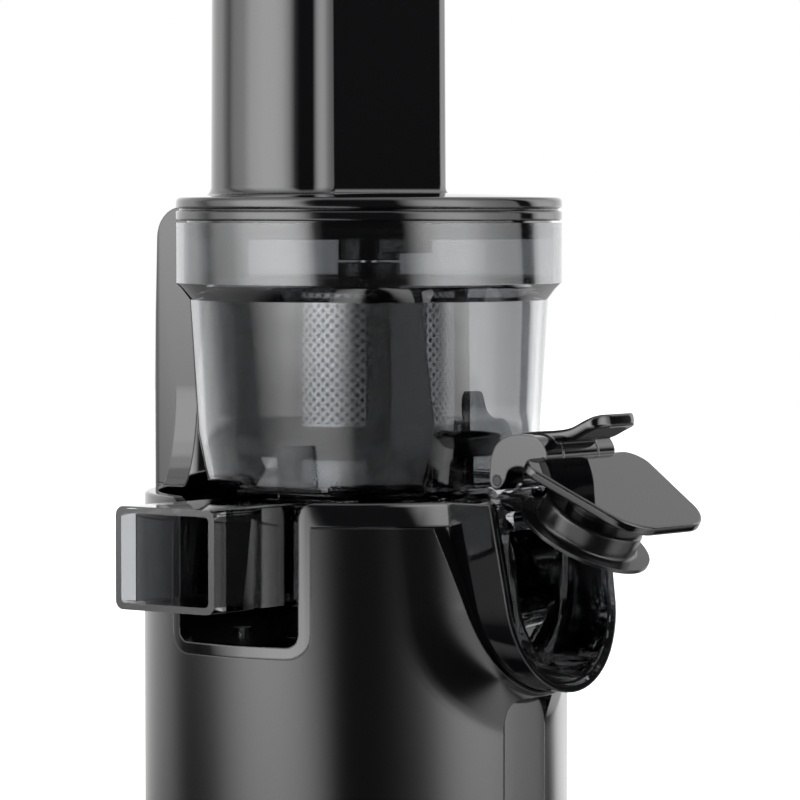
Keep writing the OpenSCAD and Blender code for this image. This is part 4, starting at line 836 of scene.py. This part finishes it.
def studio_ramp(tree, turn, share):
    """The studio's strengths round the object, with the dimmed angles at a share."""
    ramp = add(tree, "ShaderNodeValToRGB", {"Fac": turn})
    stops = ramp.color_ramp.elements
    stops.remove(stops[-1])
    for i, (angle, strength) in enumerate(STUDIO):
        place = (angle + 180) / 360
        stop = stops.new(place) if i else stops[0]
        stop.position = place
        level = strength / PEAK
        if DIM_ANGLES[0] < angle < DIM_ANGLES[1]:
            level *= share
        stop.color = (level, level, level, 1)
    return ramp.outputs["Color"]


def make_studio():
    """The world's light, with a plain white backdrop for the camera."""
    world = bpy.data.worlds.new("studio")
    bpy.context.scene.world = world
    world.use_nodes = True
    tree = world.node_tree
    tree.nodes.clear()
    ray = add(tree, "ShaderNodeTexCoord").outputs["Generated"]
    height = add(tree, "ShaderNodeSeparateXYZ", {0: ray}).outputs["Z"]
    along = add(tree, "ShaderNodeVectorMath", {0: ray, 1: to_camera}, operation="DOT_PRODUCT")
    aside = add(tree, "ShaderNodeVectorMath", {0: ray, 1: to_right}, operation="DOT_PRODUCT")
    turn = add(tree, "ShaderNodeMath", {0: aside.outputs["Value"], 1: along.outputs["Value"]},
               operation="ARCTAN2")
    tilt = add(tree, "ShaderNodeClamp", {"Value": height, "Min": LEAN_HEIGHTS[0], "Max": LEAN_HEIGHTS[1]})
    leaning = add(tree, "ShaderNodeMath", {0: tilt.outputs[0], 1: LEAN, 2: turn.outputs[0]},
                  operation="MULTIPLY_ADD")
    share = add(tree, "ShaderNodeMapRange",
                {"Value": leaning.outputs[0], "From Min": -math.pi, "From Max": math.pi})
    full = studio_ramp(tree, share.outputs[0], 1.0)
    dimmed = studio_ramp(tree, share.outputs[0], DIM_SHARE)
    bands = []
    for limits in (DIM, FADE_ABOVE, FADE_BELOW, CEILING):
        ends = dict(zip(("From Min", "From Max", "To Min", "To Max"), limits))
        bands.append(add(tree, "ShaderNodeMapRange", {"Value": height, **ends}).outputs[0])
    dim, above, below, ceiling = bands
    round_about = add(tree, "ShaderNodeMix", {"Factor": dim, "A": full, "B": dimmed}, data_type="RGBA")
    fade = add(tree, "ShaderNodeMath", {0: above, 1: below}, operation="MULTIPLY")
    faded = add(tree, "ShaderNodeVectorMath", {0: round_about.outputs["Result"], "Scale": fade.outputs[0]},
                operation="SCALE")
    overhead = OVERHEAD / PEAK
    lit = add(tree, "ShaderNodeMix",
              {"Factor": ceiling, "A": faded.outputs[0], "B": (overhead, overhead, overhead, 1)},
              data_type="RGBA")
    studio = add(tree, "ShaderNodeBackground", {"Color": lit.outputs["Result"], "Strength": PEAK})
    backdrop = add(tree, "ShaderNodeBackground", {"Color": (1, 1, 1, 1), "Strength": 1.0})
    seen = add(tree, "ShaderNodeLightPath").outputs["Is Camera Ray"]
    either = add(tree, "ShaderNodeMixShader", {0: seen, 1: studio.outputs[0], 2: backdrop.outputs[0]})
    add(tree, "ShaderNodeOutputWorld", {"Surface": either.outputs[0]})


make_studio()
